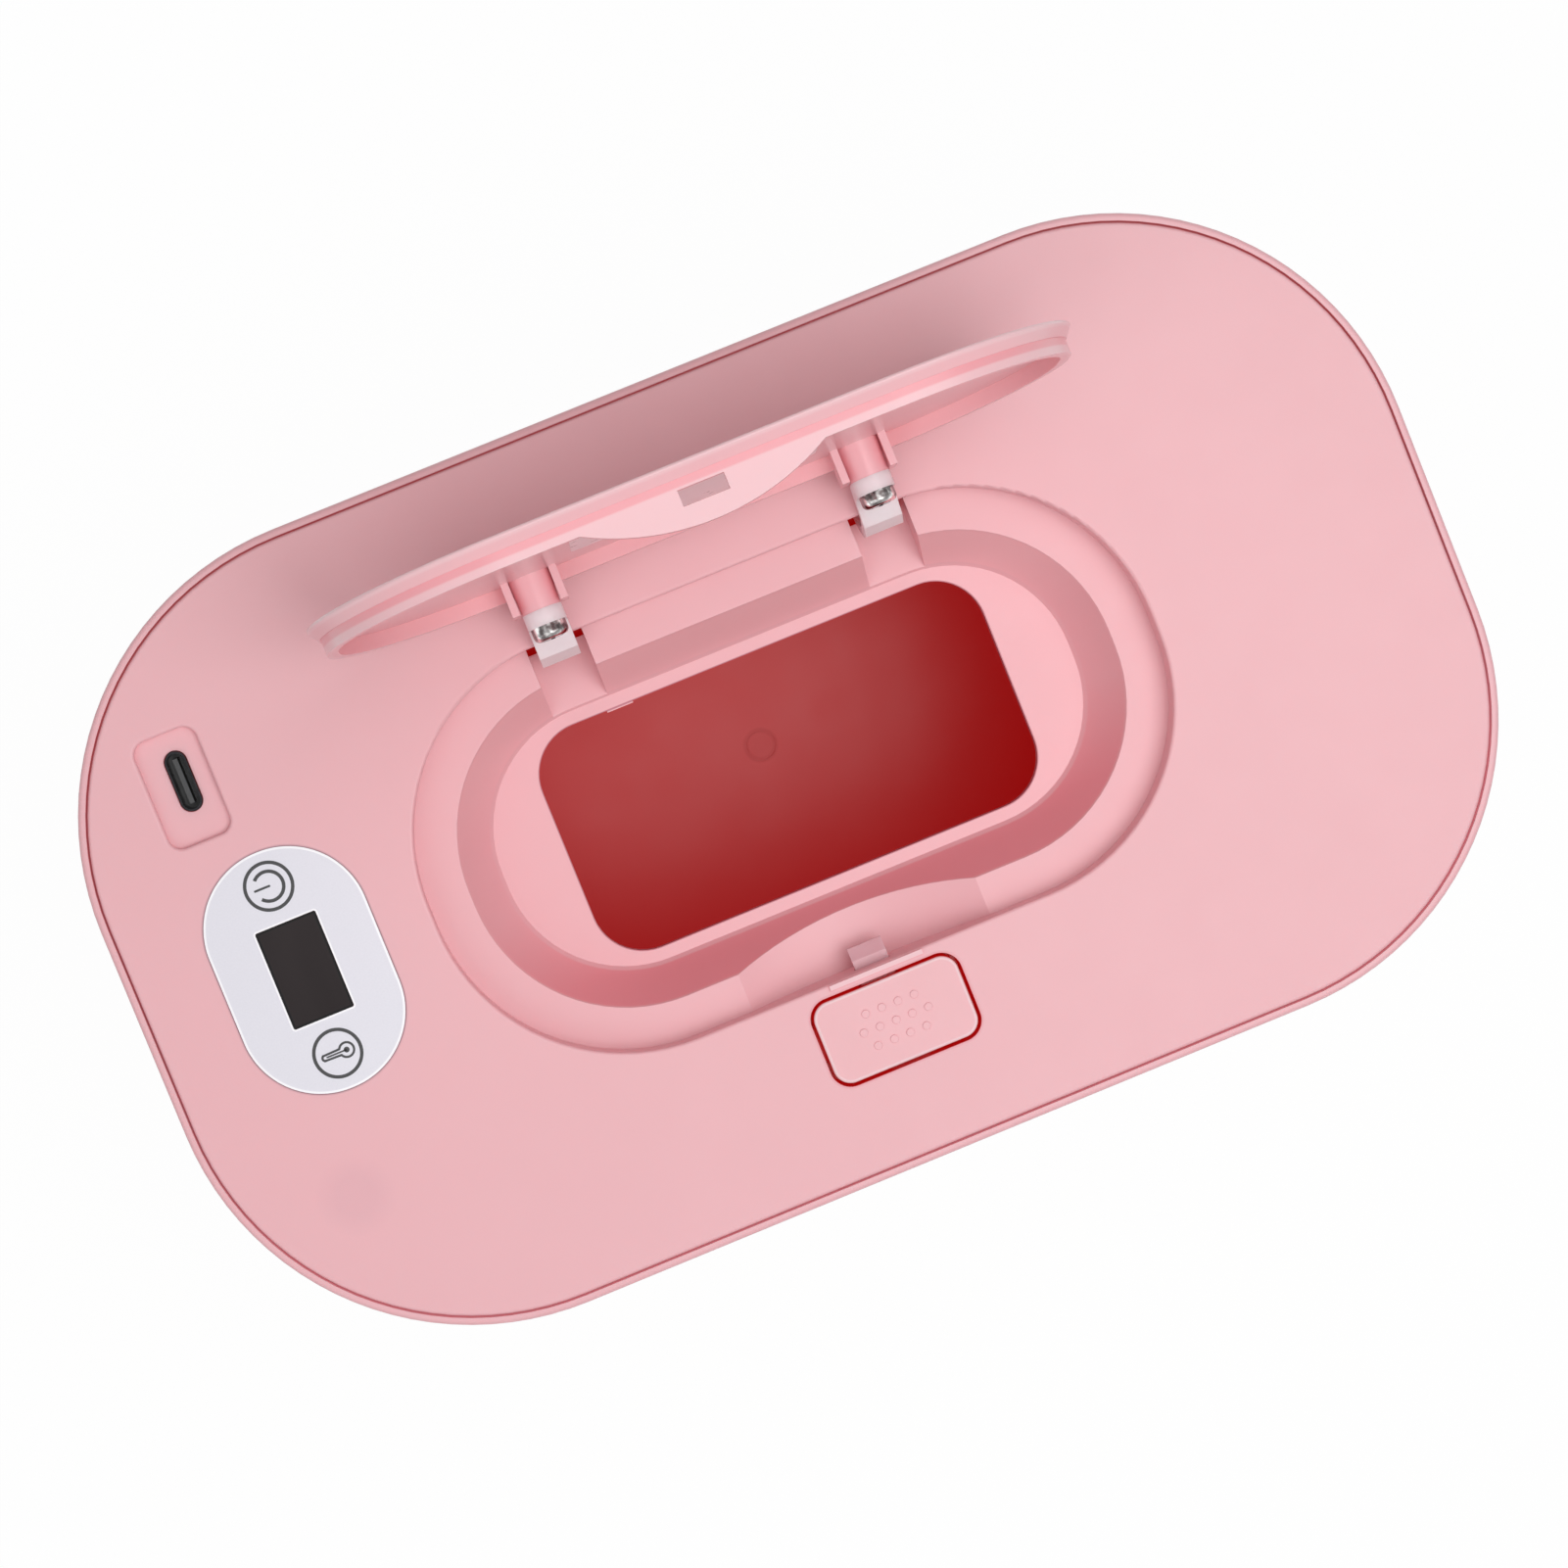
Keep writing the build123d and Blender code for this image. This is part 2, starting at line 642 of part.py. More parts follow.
# ======== Rest of the cover ========
with BuildPart() as cover_tray:
    extrude(outline(level(panel_under_z), tray_length, tray_width, tray_radius),
            amount=-(panel_under_z - tray_under_z), taper=draft_angle)
    fillet(cover_tray.faces().sort_by(Axis.Z)[0].edges(), tray_round)
    extrude(outline(level(panel_under_z), tray_length - 2 * tray_wall, tray_width - 2 * tray_wall,
                    tray_radius - tray_wall),
            amount=-(panel_under_z - tray_floor_z), taper=draft_angle, mode=Mode.SUBTRACT)
    rib_inside = plate_gap
    rib_outside = plate_gap + plate_rib
    extrude(outline(level(tray_floor_z), plate_length + 2 * rib_outside, plate_width + 2 * rib_outside,
                    plate_radius + rib_outside), amount=plate_rib_height)
    extrude(outline(level(tray_floor_z), plate_length + 2 * rib_inside, plate_width + 2 * rib_inside,
                    plate_radius + rib_inside), amount=plate_rib_height, mode=Mode.SUBTRACT)
    with BuildSketch(level(tray_floor_z)):
        with Locations(*screw_spots):
            Circle(pillar_radius)
    extrude(amount=height - boss_drop - tray_floor_z)
    extrude(outline(level(tray_floor_z), plate_length - 2 * plate_ledge, plate_width - 2 * plate_ledge,
                    plate_radius - plate_ledge), amount=-tray_floor, mode=Mode.SUBTRACT)
    with BuildSketch(level(tray_under_z)):
        with Locations(*screw_spots):
            Circle(screw_head_radius + screw_head_gap)
    extrude(amount=screw_seat_depth, mode=Mode.SUBTRACT)
    with BuildSketch(level(tray_under_z)):
        with Locations(*screw_spots):
            Circle(screw_clearance_radius)
    extrude(amount=cover_depth - boss_drop, mode=Mode.SUBTRACT)
finish(cover_tray, "cover_tray")

with BuildPart() as cover_seal:
    seal_inset = panel_inset + seal_edge
    extrude(outline(level(seat_z), length - 2 * seal_inset, width - 2 * seal_inset,
                    corner_radius - seal_inset), amount=seal_thickness)
    extrude(outline(level(seat_z), tray_length + seal_edge, tray_width + seal_edge,
                    tray_radius + seal_edge / 2), amount=seal_thickness, mode=Mode.SUBTRACT)
finish(cover_seal, "cover_seal")

with BuildPart() as cover_screws:
    for x, y in screw_spots:
        seat = Plane((x, y, tray_under_z + screw_seat_depth), x_dir=(1, 0, 0), z_dir=(0, 0, -1))
        screw(seat, screw_head_radius, screw_head_height, screw_head_height / 2, screw_radius,
              screw_length, (driver_slot_length, driver_slot_width, driver_slot_depth))
finish(cover_screws, "cover_screws")

# ======== Heater ========
chute_inset = chute_setback + chute_wall + chute_gap

with BuildPart() as heating_plate:
    extrude(outline(level(plate_z), plate_length, plate_width, plate_radius), amount=plate_thickness)
    extrude(outline(level(plate_z), opening_length + 2 * chute_inset, opening_width + 2 * chute_inset,
                    opening_radius + chute_inset), amount=plate_thickness, mode=Mode.SUBTRACT)
finish(heating_plate, "heating_plate")

with BuildPart() as heating_film:
    film_edge = chute_inset + film_inset
    extrude(outline(level(film_z), plate_length - 2 * film_inset, plate_width - 2 * film_inset,
                    plate_radius - film_inset), amount=film_thickness)
    extrude(outline(level(film_z), opening_length + 2 * film_edge, opening_width + 2 * film_edge,
                    opening_radius + film_edge), amount=film_thickness, mode=Mode.SUBTRACT)
finish(heating_film, "heating_film")

with BuildPart() as insulation_pad:
    pad_thickness = bowl_under_z - pad_z
    extrude(outline(level(pad_z), plate_length, plate_width, plate_radius), amount=pad_thickness)
    extrude(outline(level(pad_z), opening_length + 2 * chute_inset, opening_width + 2 * chute_inset,
                    opening_radius + chute_inset), amount=pad_thickness, mode=Mode.SUBTRACT)
    with BuildSketch(level(pad_z)):
        with Locations((pad_window_x, 0)):
            Rectangle(pad_window_length, pad_window_width)
    extrude(amount=pad_thickness, mode=Mode.SUBTRACT)
finish(insulation_pad, "insulation_pad")

with BuildPart() as temperature_sensor:
    with BuildSketch(level(pad_z)):
        with Locations((pad_window_x, connector_y)):
            RectangleRounded(sensor_length, sensor_width, sensor_width / 4)
    extrude(amount=sensor_height)
finish(temperature_sensor, "temperature_sensor")

with BuildPart() as thermal_fuse:
    for radius, reach in ((fuse_radius, fuse_length), (fuse_lead_radius, fuse_length + 2 * fuse_lead_length)):
        with BuildSketch(Plane.XZ.offset(-fuse_y)):
            with Locations((pad_window_x, pad_z + fuse_radius)):
                Circle(radius)
        extrude(amount=reach / 2, both=True)
finish(thermal_fuse, "thermal_fuse")

# ======== Control board ========
with BuildPart() as control_board:
    extrude(outline(level(board_under_z), board_width, board_length, board_radius, (board_x, board_y)),
            amount=board_thickness)
    with BuildSketch(level(board_under_z)):
        with Locations((board_x, 0)):
            with Locations(*standoff_grid):
                Circle(board_screw_radius + thread_gap)
    extrude(amount=board_thickness, mode=Mode.SUBTRACT)
finish(control_board, "control_board")

with BuildPart() as board_screws:
    for spot in standoff_grid:
        seat = Plane((board_x + spot.position.X, spot.position.Y, board_under_z), x_dir=(1, 0, 0),
                     z_dir=(0, 0, -1))
        screw(seat, board_screw_head_radius, board_screw_head_height, board_screw_head_height / 2,
              board_screw_radius, board_screw_length,
              (driver_slot_length / 2, driver_slot_width / 2, driver_slot_depth / 2))
finish(board_screws, "board_screws")

with BuildPart() as board_chips:
    for chip_length, chip_width, chip_height, x, y in chips:
        with BuildSketch(level(board_under_z)):
            with Locations((board_x + x, board_y + y)):
                Rectangle(chip_length, chip_width)
        extrude(amount=-chip_height)
finish(board_chips, "board_chips")

with BuildPart() as wire_connectors:
    with BuildSketch(level(board_under_z)):
        with Locations((connector_x, -connector_y), (connector_x, connector_y)):
            Rectangle(connector_width, connector_length)
    extrude(amount=-connector_height)
finish(wire_connectors, "wire_connectors")


def wire_pair(y_middle, z_end):
    """Two wires from a connector, bent down to where they are soldered."""
    x_start = connector_x + connector_width / 2
    z_start = board_under_z - connector_height / 2
    for y in (y_middle - wire_pitch / 2, y_middle + wire_pitch / 2):
        with BuildLine() as route:
            FilletPolyline((x_start, y, z_start), (pad_window_x, y, z_start), (pad_window_x, y, z_end),
                           radius=wire_bend)
        with BuildSketch(Plane(route.line ^ 0)) as section:
            Circle(wire_radius)
        sweep(section.sketch, path=route.line)


with BuildPart() as heater_wires:
    wire_pair(-connector_y, pad_z)
finish(heater_wires, "heater_wires")

with BuildPart() as sensor_wires:
    wire_pair(connector_y, pad_z + sensor_height)
finish(sensor_wires, "sensor_wires")

with BuildPart() as display_module:
    with BuildSketch(level(board_top_z)):
        with Locations((label_x, 0)):
            Rectangle(module_width, module_length)
    extrude(amount=panel_under_z - board_top_z)
finish(display_module, "display_module")

with BuildPart() as display_window:
    extrude(outline(level(panel_under_z), display_width, display_length, display_radius, (label_x, 0)),
            amount=panel_thickness)
finish(display_window, "display_window")

with BuildPart() as control_label:
    extrude(outline(level(height - label_thickness), label_width - 2 * label_gap,
                    label_length - 2 * label_gap, label_radius - label_gap, (label_x, 0)),
            amount=label_thickness)
    extrude(outline(level(height - label_thickness), display_width + 2 * display_gap,
                    display_length + 2 * display_gap, display_radius + display_gap, (label_x, 0)),
            amount=label_thickness, mode=Mode.SUBTRACT)
finish(control_label, "control_label")

with BuildPart() as touch_springs:
    for y in (-icon_y, icon_y):
        coil((label_x, y, board_top_z + touch_spring_wire), (0, 0, 1),
             panel_under_z - board_top_z - 2 * touch_spring_wire, touch_spring_radius,
             touch_spring_wire, touch_spring_turns)
finish(touch_springs, "touch_springs")

# ======== USB inlet ========
usb_mouth_z = height - usb_drop
usb_spot = Location((usb_x, usb_y, 0), (0, 0, 90))

with BuildPart() as usb_shell:
    with BuildSketch(level(board_top_z)):
        with Locations(usb_spot):
            SlotOverall(usb_length, usb_width)
            SlotOverall(usb_length - 2 * usb_shell_wall, usb_width - 2 * usb_shell_wall, mode=Mode.SUBTRACT)
    extrude(amount=usb_mouth_z - board_top_z)
finish(usb_shell, "usb_shell")

with BuildPart() as usb_tongue:
    with BuildSketch(level(board_top_z)):
        with Locations(usb_spot):
            SlotOverall(usb_length - 2 * usb_shell_wall, usb_width - 2 * usb_shell_wall)
    extrude(amount=usb_base_height)
    with BuildSketch(level(board_top_z)):
        with Locations(usb_spot):
            Rectangle(usb_tongue_length, usb_tongue_width)
    extrude(amount=usb_mouth_z - usb_tongue_drop - board_top_z)
finish(usb_tongue, "usb_tongue")

# ======== Release button ========
post_back_y = post_front_y - post_tip - latch_ratio * post_ramp_height

with BuildPart() as release_button:
    extrude(outline(level(height), button_length, button_width, button_radius, (0, button_y)),
            amount=-button_skirt)
    fillet(release_button.edges().group_by(Axis.Z)[-1], button_round)
    extrude(outline(level(height - button_top), button_length - 2 * button_wall,
                    button_width - 2 * button_wall, button_radius - button_wall, (0, button_y)),
            amount=-(button_skirt - button_top), mode=Mode.SUBTRACT)
    with BuildSketch(Plane.XZ.offset(-button_y)):
        with Locations((0, height - button_top)):
            Rectangle(button_notch_width, button_skirt, align=(Align.CENTER, Align.MAX))
    extrude(amount=button_width, both=True, mode=Mode.SUBTRACT)
    # post whose sloping foot pushes the bolt back
    with BuildSketch(Plane.YZ):
        with BuildLine():
            Polyline((post_front_y, height - button_top), (post_front_y, height - post_drop),
                     (post_front_y - post_tip, height - post_drop),
                     (post_back_y, height - post_drop + post_ramp_height),
                     (post_back_y, height - button_top), close=True)
        make_face()
    extrude(amount=post_width / 2, both=True)
    # hooks under the frame
    hook_top = height - frame_drop - hook_gap
    for side in (-1, 1):
        outer_x = side * button_length / 2
        with BuildSketch(Plane.XZ.offset(-button_y)):
            with BuildLine():
                Polyline((outer_x, height - button_skirt), (outer_x, hook_top),
                         (outer_x + side * hook_reach, hook_top),
                         (outer_x, hook_top - hook_height),
                         (outer_x - side * button_wall, hook_top - hook_height),
                         (outer_x - side * button_wall, height - button_skirt), close=True)
            make_face()
        extrude(amount=hook_length / 2, both=True)
    # grip bumps
    for row, count in enumerate(bump_rows):
        row_y = button_y + (1 - row) * bump_row_pitch
        with BuildSketch(level(height)):
            with Locations((0, row_y)):
                with GridLocations(bump_pitch, 0, count, 1):
                    Circle(bump_radius)
        extrude(amount=bump_height)
    bump_tops = release_button.edges().group_by(Axis.Z)[-1]
    fillet(bump_tops, bump_height / 2)
finish(release_button, "release_button")

with BuildPart() as button_springs:
    for x in (-button_spring_x, button_spring_x):
        coil((x, button_y, guide_z + button_spring_wire), (0, 0, 1),
             guide_top - button_top - 2 * button_spring_wire, button_spring_radius,
             button_spring_wire, button_spring_turns)
finish(button_springs, "button_springs")

# ======== Latch ========
bolt_tip_y = -(recess_back_y - bolt_reach)
bolt_top_z = height - bolt_top
slider_back_y = slider_front_y - slider_length
slider_under_z = guide_z + slider_clearance
pocket_front_y = slider_front_y - slider_wall
ramp_foot_y = post_front_y - post_tip - ramp_clearance
ramp_top_y = ramp_foot_y - latch_ratio * (bolt_top_z - (height - post_drop))
ramp_low_z = height - post_drop + (ramp_foot_y - pocket_front_y) / latch_ratio
latch_spring_z = (bolt_top_z + slider_under_z) / 2

with BuildPart() as latch_bolt:
    with BuildSketch(Plane.YZ):
        with BuildLine():
            Polyline((slider_front_y, bolt_top_z - bolt_height), (bolt_tip_y, bolt_top_z - bolt_height),
                     (bolt_tip_y, bolt_top_z - bolt_ramp_height),
                     (bolt_tip_y - bolt_ramp_length, bolt_top_z), (slider_front_y, bolt_top_z), close=True)
        make_face()
    extrude(amount=bolt_width / 2, both=True)
    with BuildSketch(Plane.YZ):
        with Locations((slider_front_y, bolt_top_z)):
            Rectangle(slider_length, bolt_top_z - slider_under_z, align=(Align.MAX, Align.MAX))
    extrude(amount=slider_width / 2, both=True)
    with BuildSketch(Plane.YZ):
        with BuildLine():
            Polyline((pocket_front_y, bolt_top_z), (pocket_front_y, ramp_low_z), (ramp_top_y, bolt_top_z),
                     close=True)
        make_face()
    extrude(amount=post_width / 2 + slider_clearance, both=True, mode=Mode.SUBTRACT)
    with BuildSketch(Plane.XZ.offset(-slider_back_y)):
        with Locations((0, latch_spring_z)):
            Circle(spigot_radius)
    extrude(amount=spigot_length)
finish(latch_bolt, "latch_bolt")

with BuildPart() as latch_spring:
    coil((0, guide_back_y + latch_spring_wire, latch_spring_z), (0, 1, 0),
         slider_back_y - guide_back_y - 2 * latch_spring_wire, latch_spring_radius,
         latch_spring_wire, latch_spring_turns)
finish(latch_spring, "latch_spring")

rail_x = slider_width / 2 + slider_clearance

with BuildPart() as latch_guide:
    guide_depth = guide_front_y - guide_back_y + guide_wall
    with BuildSketch(level(guide_z)):
        with Locations((0, guide_front_y)):
            Rectangle(2 * guide_half_width, guide_depth, align=(Align.CENTER, Align.MAX))
    extrude(amount=-guide_thickness)
    with BuildSketch(level(guide_z)):
        with Locations((0, guide_back_y)):
            Rectangle(2 * (rail_x + guide_wall), guide_wall, align=(Align.CENTER, Align.MAX))
    extrude(amount=guide_top - bolt_top)
    for x in (-rail_x - guide_wall / 2, rail_x + guide_wall / 2):
        with BuildSketch(level(guide_z)):
            with Locations((x, guide_back_y)):
                Rectangle(guide_wall, guide_rail_length, align=(Align.CENTER, Align.MIN))
        extrude(amount=guide_rail_height)
        with BuildSketch(level(guide_z)):
            with Locations((x, guide_front_y)):
                Rectangle(guide_wall, guide_rail_length, align=(Align.CENTER, Align.MAX))
        extrude(amount=guide_front_rail_height)
    with BuildSketch(level(guide_z)):
        with Locations((-button_spring_x, button_y), (button_spring_x, button_y)):
            Circle(spring_seat_radius)
    extrude(amount=spring_seat_height)
    with BuildSketch(level(guide_z)):
        with Locations((-guide_screw_x, guide_screw_y), (guide_screw_x, guide_screw_y)):
            Circle(guide_screw_radius + thread_gap)
    extrude(amount=-guide_thickness, mode=Mode.SUBTRACT)
finish(latch_guide, "latch_guide")

with BuildPart() as guide_screws:
    for x in (-guide_screw_x, guide_screw_x):
        seat = Plane((x, guide_screw_y, guide_z - guide_thickness), x_dir=(1, 0, 0), z_dir=(0, 0, -1))
        screw(seat, guide_screw_head_radius, guide_screw_head_height, guide_screw_head_height / 2,
              guide_screw_radius, guide_screw_length,
              (driver_slot_length / 2, driver_slot_width / 2, driver_slot_depth / 2))
finish(guide_screws, "guide_screws")

# ======== Lid, drawn as it lies closed and carried round to its open place ========
lid_top = on_lid(level(height))
lid_under = on_lid(level(height - lid_thickness))
boss_end_z = height - lid_thickness - boss_length
tab_radius = ((tab_chord / 2) ** 2 + tab_depth ** 2) / (2 * tab_depth)
tab_end_z = height - lid_thickness - skirt_depth - tab_depth
skirt_front = on_lid(Plane.XZ.offset(lid_width / 2 - skirt_inset))

with BuildPart() as lid:
    extrude(outline(lid_top, lid_length, lid_width, lid_radius), amount=-lid_thickness)
    across = Axis(lid_top.origin, lid_top.z_dir)
    fillet(lid.faces().sort_by(across)[-1].edges(), lid_round)
    under_face = lid.faces().sort_by(across)[0]
    back_edges = [edge for edge in under_face.edges()
                  if lid_top.to_local_coords(edge @ 0.5).Y > lid_width / 2 - lid_radius + lid_round]
    chamfer(back_edges, lid_bevel_width, lid_bevel_height, reference=under_face)
    extrude(outline(lid_under, lid_length - 2 * skirt_inset, lid_width - 2 * skirt_inset,
                    lid_radius - skirt_inset), amount=-skirt_depth)
    skirt_inside = skirt_inset + skirt_thickness
    extrude(outline(lid_under, lid_length - 2 * skirt_inside, lid_width - 2 * skirt_inside,
                    lid_radius - skirt_inside), amount=-skirt_depth, mode=Mode.SUBTRACT)
    # catch that hooks over the bolt
    with BuildSketch(skirt_front):
        with Locations((0, tab_end_z + tab_radius)):
            Circle(tab_radius)
        with Locations((0, height - lid_thickness)):
            Rectangle(lid_length, lid_width, align=(Align.CENTER, Align.MAX), mode=Mode.INTERSECT)
    extrude(amount=-skirt_thickness)
    with BuildSketch(skirt_front):
        with Locations((0, height - tab_slot_drop)):
            Rectangle(tab_slot_width, tab_slot_height, align=(Align.CENTER, Align.MAX))
    extrude(amount=-skirt_thickness, mode=Mode.SUBTRACT)
    # screw bosses for the arms, each between two fins
    with BuildSketch(lid_under):
        with Locations((-hinge_x, boss_y), (hinge_x, boss_y)):
            Circle(boss_radius)
    extrude(amount=-boss_length, taper=boss_taper)
    fin_x = boss_radius + fin_thickness / 2
    with BuildSketch(lid_under):
        for x in (-hinge_x, hinge_x):
            with Locations((x - fin_x, boss_y), (x + fin_x, boss_y)):
                Rectangle(fin_thickness, fin_length)
    extrude(amount=-(boss_length - fin_setback))
    with BuildSketch(on_lid(level(boss_end_z))):
        with Locations((-hinge_x, boss_y), (hinge_x, boss_y)):
            Circle(boss_pilot_radius)
    extrude(amount=boss_pilot_depth, mode=Mode.SUBTRACT)
finish(lid, "lid")

with BuildPart() as lid_sticker:
    extrude(outline(lid_under, sticker_length, sticker_width, sticker_radius, (0, sticker_y)),
            amount=-sticker_thickness)
finish(lid_sticker, "lid_sticker")


def around_pivot(radius, angle):
    """Point in the hinge's side view, by its radius and angle around the pivot, lid closed."""
    return (pivot_y + radius * cos(radians(angle)), pivot_z + radius * sin(radians(angle)))


neck_inner = arm_radius - arm_thickness / cos(radians((neck_angles[1] - neck_angles[0]) / 2))
eye_under_z = boss_end_z - eye_thickness
eye_tip_y = boss_y - eye_radius
first_outer = around_pivot(arm_radius, neck_angles[0])
first_inner = around_pivot(neck_inner, neck_angles[0])

for side, name in ((-1, "left"), (1, "right")):
    with BuildPart() as hinge_arm:
        with BuildSketch(on_lid(Plane.YZ.offset(side * hinge_x))) as profile:
            with BuildLine():
                Polyline((eye_tip_y, boss_end_z),
                         (first_inner[0] - (boss_end_z - first_inner[1]), boss_end_z),
                         *[around_pivot(neck_inner, angle) for angle in neck_angles],
                         *[around_pivot(arm_radius, angle) for angle in reversed(neck_angles)],
                         (first_outer[0] - (eye_under_z - first_outer[1]), eye_under_z),
                         (eye_tip_y, eye_under_z), close=True)
            make_face()
            with Locations(Location((pivot_y, pivot_z, 0), (0, 0, spoke_angle))):
                Rectangle(arm_radius - arm_thickness / 2, spoke_width, align=(Align.MIN, Align.CENTER))
                Circle(hub_radius)
        extrude(amount=arm_width / 2, both=True)
        along = Axis(lid_top.origin, lid_top.y_dir)
        tip_corners = hinge_arm.edges().filter_by(Axis(lid_top.origin, lid_top.z_dir)).group_by(along)[0]
        fillet(tip_corners, arm_width / 2 - thread_gap)
        with BuildSketch(on_lid(level(boss_end_z))):
            with Locations((side * hinge_x, boss_y)):
                Circle(eye_hole_radius)
        extrude(amount=-eye_thickness, mode=Mode.SUBTRACT)
        with BuildSketch(on_lid(Plane.YZ.offset(side * hinge_x))):
            with Locations((pivot_y, pivot_z)):
                Circle(pin_radius + hub_fit)
        extrude(amount=arm_width, both=True, mode=Mode.SUBTRACT)
    finish(hinge_arm, f"hinge_arm_{name}")

with BuildPart() as hinge_screws:
    for x in (-hinge_x, hinge_x):
        seat = on_lid(Plane((x, boss_y, eye_under_z), x_dir=(1, 0, 0), z_dir=(0, 0, -1)))
        screw(seat, hinge_screw_head_radius, hinge_screw_head_height, hinge_screw_head_round,
              boss_pilot_radius - thread_gap, hinge_screw_shank,
              (driver_slot_length, driver_slot_width, driver_slot_depth))
finish(hinge_screws, "hinge_screws")

# ======== Hinge pins and springs ========
with BuildPart() as hinge_pins:
    for side in (-1, 1):
        pin_start = side * (hinge_x - spring_ear - ear_width)
        pin_end = side * (hinge_x + hub_end + ear_width)
        with BuildSketch(Plane.YZ.offset(pin_start)):
            with Locations((pivot_y, pivot_z)):
                Circle(pin_radius)
        extrude(amount=pin_end - pin_start)
        with BuildSketch(Plane.YZ.offset(pin_end)):
            with Locations((pivot_y, pivot_z)):
                Circle(pin_head_radius)
        extrude(amount=side * pin_head_height)
finish(hinge_pins, "hinge_pins")

with BuildPart() as hinge_springs:
    spring_run = hinge_spring_width - 2 * hinge_spring_wire
    near_x = hinge_x - hub_end - ear_gap - hinge_spring_wire
    coil((-near_x, pivot_y, pivot_z), (1, 0, 0), spring_run, hinge_spring_radius, hinge_spring_wire,
         hinge_spring_turns)
    # one leg under the panel, the other along the arm
    last_angle = 90 + 360 * (hinge_spring_turns - int(hinge_spring_turns))
    for x, angle, heading in ((-near_x, 90, 0), (spring_run - near_x, last_angle, last_angle + 90)):
        foot = around_pivot(hinge_spring_radius, angle)
        with BuildSketch(Plane((x, *foot), z_dir=(0, cos(radians(heading)), sin(radians(heading))))):
            Circle(hinge_spring_wire)
        extrude(amount=hinge_spring_leg)
    mirror(about=Plane.YZ)
finish(hinge_springs, "hinge_springs")
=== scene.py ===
from math import cos, hypot, radians, sin

import bpy
from mathutils import Matrix, Vector


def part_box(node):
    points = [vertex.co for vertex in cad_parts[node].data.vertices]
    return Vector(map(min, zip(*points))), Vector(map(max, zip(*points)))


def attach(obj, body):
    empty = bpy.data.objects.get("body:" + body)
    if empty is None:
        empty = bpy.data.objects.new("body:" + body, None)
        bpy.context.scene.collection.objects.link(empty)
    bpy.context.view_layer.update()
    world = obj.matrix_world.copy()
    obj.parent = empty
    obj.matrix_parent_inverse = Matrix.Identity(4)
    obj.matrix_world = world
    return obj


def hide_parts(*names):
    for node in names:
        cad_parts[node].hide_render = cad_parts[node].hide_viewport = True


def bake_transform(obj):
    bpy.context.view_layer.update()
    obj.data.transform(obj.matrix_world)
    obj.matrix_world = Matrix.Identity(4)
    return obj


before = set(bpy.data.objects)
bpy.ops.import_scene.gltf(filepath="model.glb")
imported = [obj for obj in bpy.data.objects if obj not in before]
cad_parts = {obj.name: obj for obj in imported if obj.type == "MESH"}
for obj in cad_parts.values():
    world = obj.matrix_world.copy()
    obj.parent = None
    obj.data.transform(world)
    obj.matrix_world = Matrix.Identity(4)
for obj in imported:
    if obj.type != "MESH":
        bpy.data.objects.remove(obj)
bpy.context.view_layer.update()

# Baby wipe warmer, dressed: finishes for every moulded, metal and printed part, coil springs welded
# from the CAD springs, the inked touch icons, and a plain white studio. Lengths are in
# millimetres here and go to Blender in metres.

MM = 0.001

# ---- Sizes of the parts ----
TUB_SIZE = [(high - low) / MM for low, high in zip(*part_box("tub"))]
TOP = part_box("tub")[1][2] / MM
TUB_RADIUS, TUB_WALL = 44.0, 2.8
RIM_BAND, WALL_LEAN, BASE_ROUND_Z = 3.0, 0.0524, 11.2
RIM_WIDTH, PANEL_INSET, PANEL_THICKNESS = 1.1, 1.35, 2.0
GATE_RADIUS = 2.35
TRAY_FLOOR_Z, TRAY_INSET = TOP - 18.4, TUB_WALL + 0.5
LEDGE_Z, WELL_Z = TOP - 4.8, TOP - 13.6
SLOPE_INSET = 5.5
SCOOP_RADIUS, SCOOP_DEPTH = 41.092, 4.4
SCOOP_AXIS_Z = LEDGE_Z - SCOOP_DEPTH + SCOOP_RADIUS
PIVOT_Y, PIVOT_Z, OPEN_ANGLE = 36.6, TOP - 4.4, 95.0
LID_THICKNESS, SKIRT_INSET, SKIRT_THICKNESS = 2.0, 1.35, 1.6
HINGE_X, BOSS_Y, BOSS_RADIUS = 24.9, 25.0, 3.05
SCREW_RIM, DRIVER_LENGTH, DRIVER_WIDTH = 2.15, 2.9, 0.6
SINK_MARK = (-80.9, -32.7, 4.4)

# Rounded rectangles as seen from above: centre, size and corner radius
MIDDLE = (0.0, 0.0)
TUB = (MIDDLE, TUB_SIZE[:2], TUB_RADIUS)
TRAY = (MIDDLE, [size - 2 * TRAY_INSET for size in TUB_SIZE[:2]], TUB_RADIUS - TRAY_INSET)
RECESS = (MIDDLE, (111.5, 60.6), 28.6)
OPENING = (MIDDLE, (69.4, 34.9), 7.6)
LID = (MIDDLE, (110.6, 59.7), 28.15)
BUTTON_SLOT = ((0.0, -38.7), (23.2, 13.4), 3.1)
RIDGE = ((0.0, -30.9), (14.3, 0.7), 0.05)
LABEL = ((-75.4, 0.0), (23.76, 36.16), 11.68)
WINDOW = ((-75.4, 0.0), (9.0, 14.6), 0.2)

# ---- Camera, its roll in radians ----
CAMERA_SEAT = (-27.003, 43.316, 716.274)
CAMERA_AIM = (-2.246, -1.210, 90.0)
CAMERA_ROLL = 0.387
CAMERA_LENS = 101.01


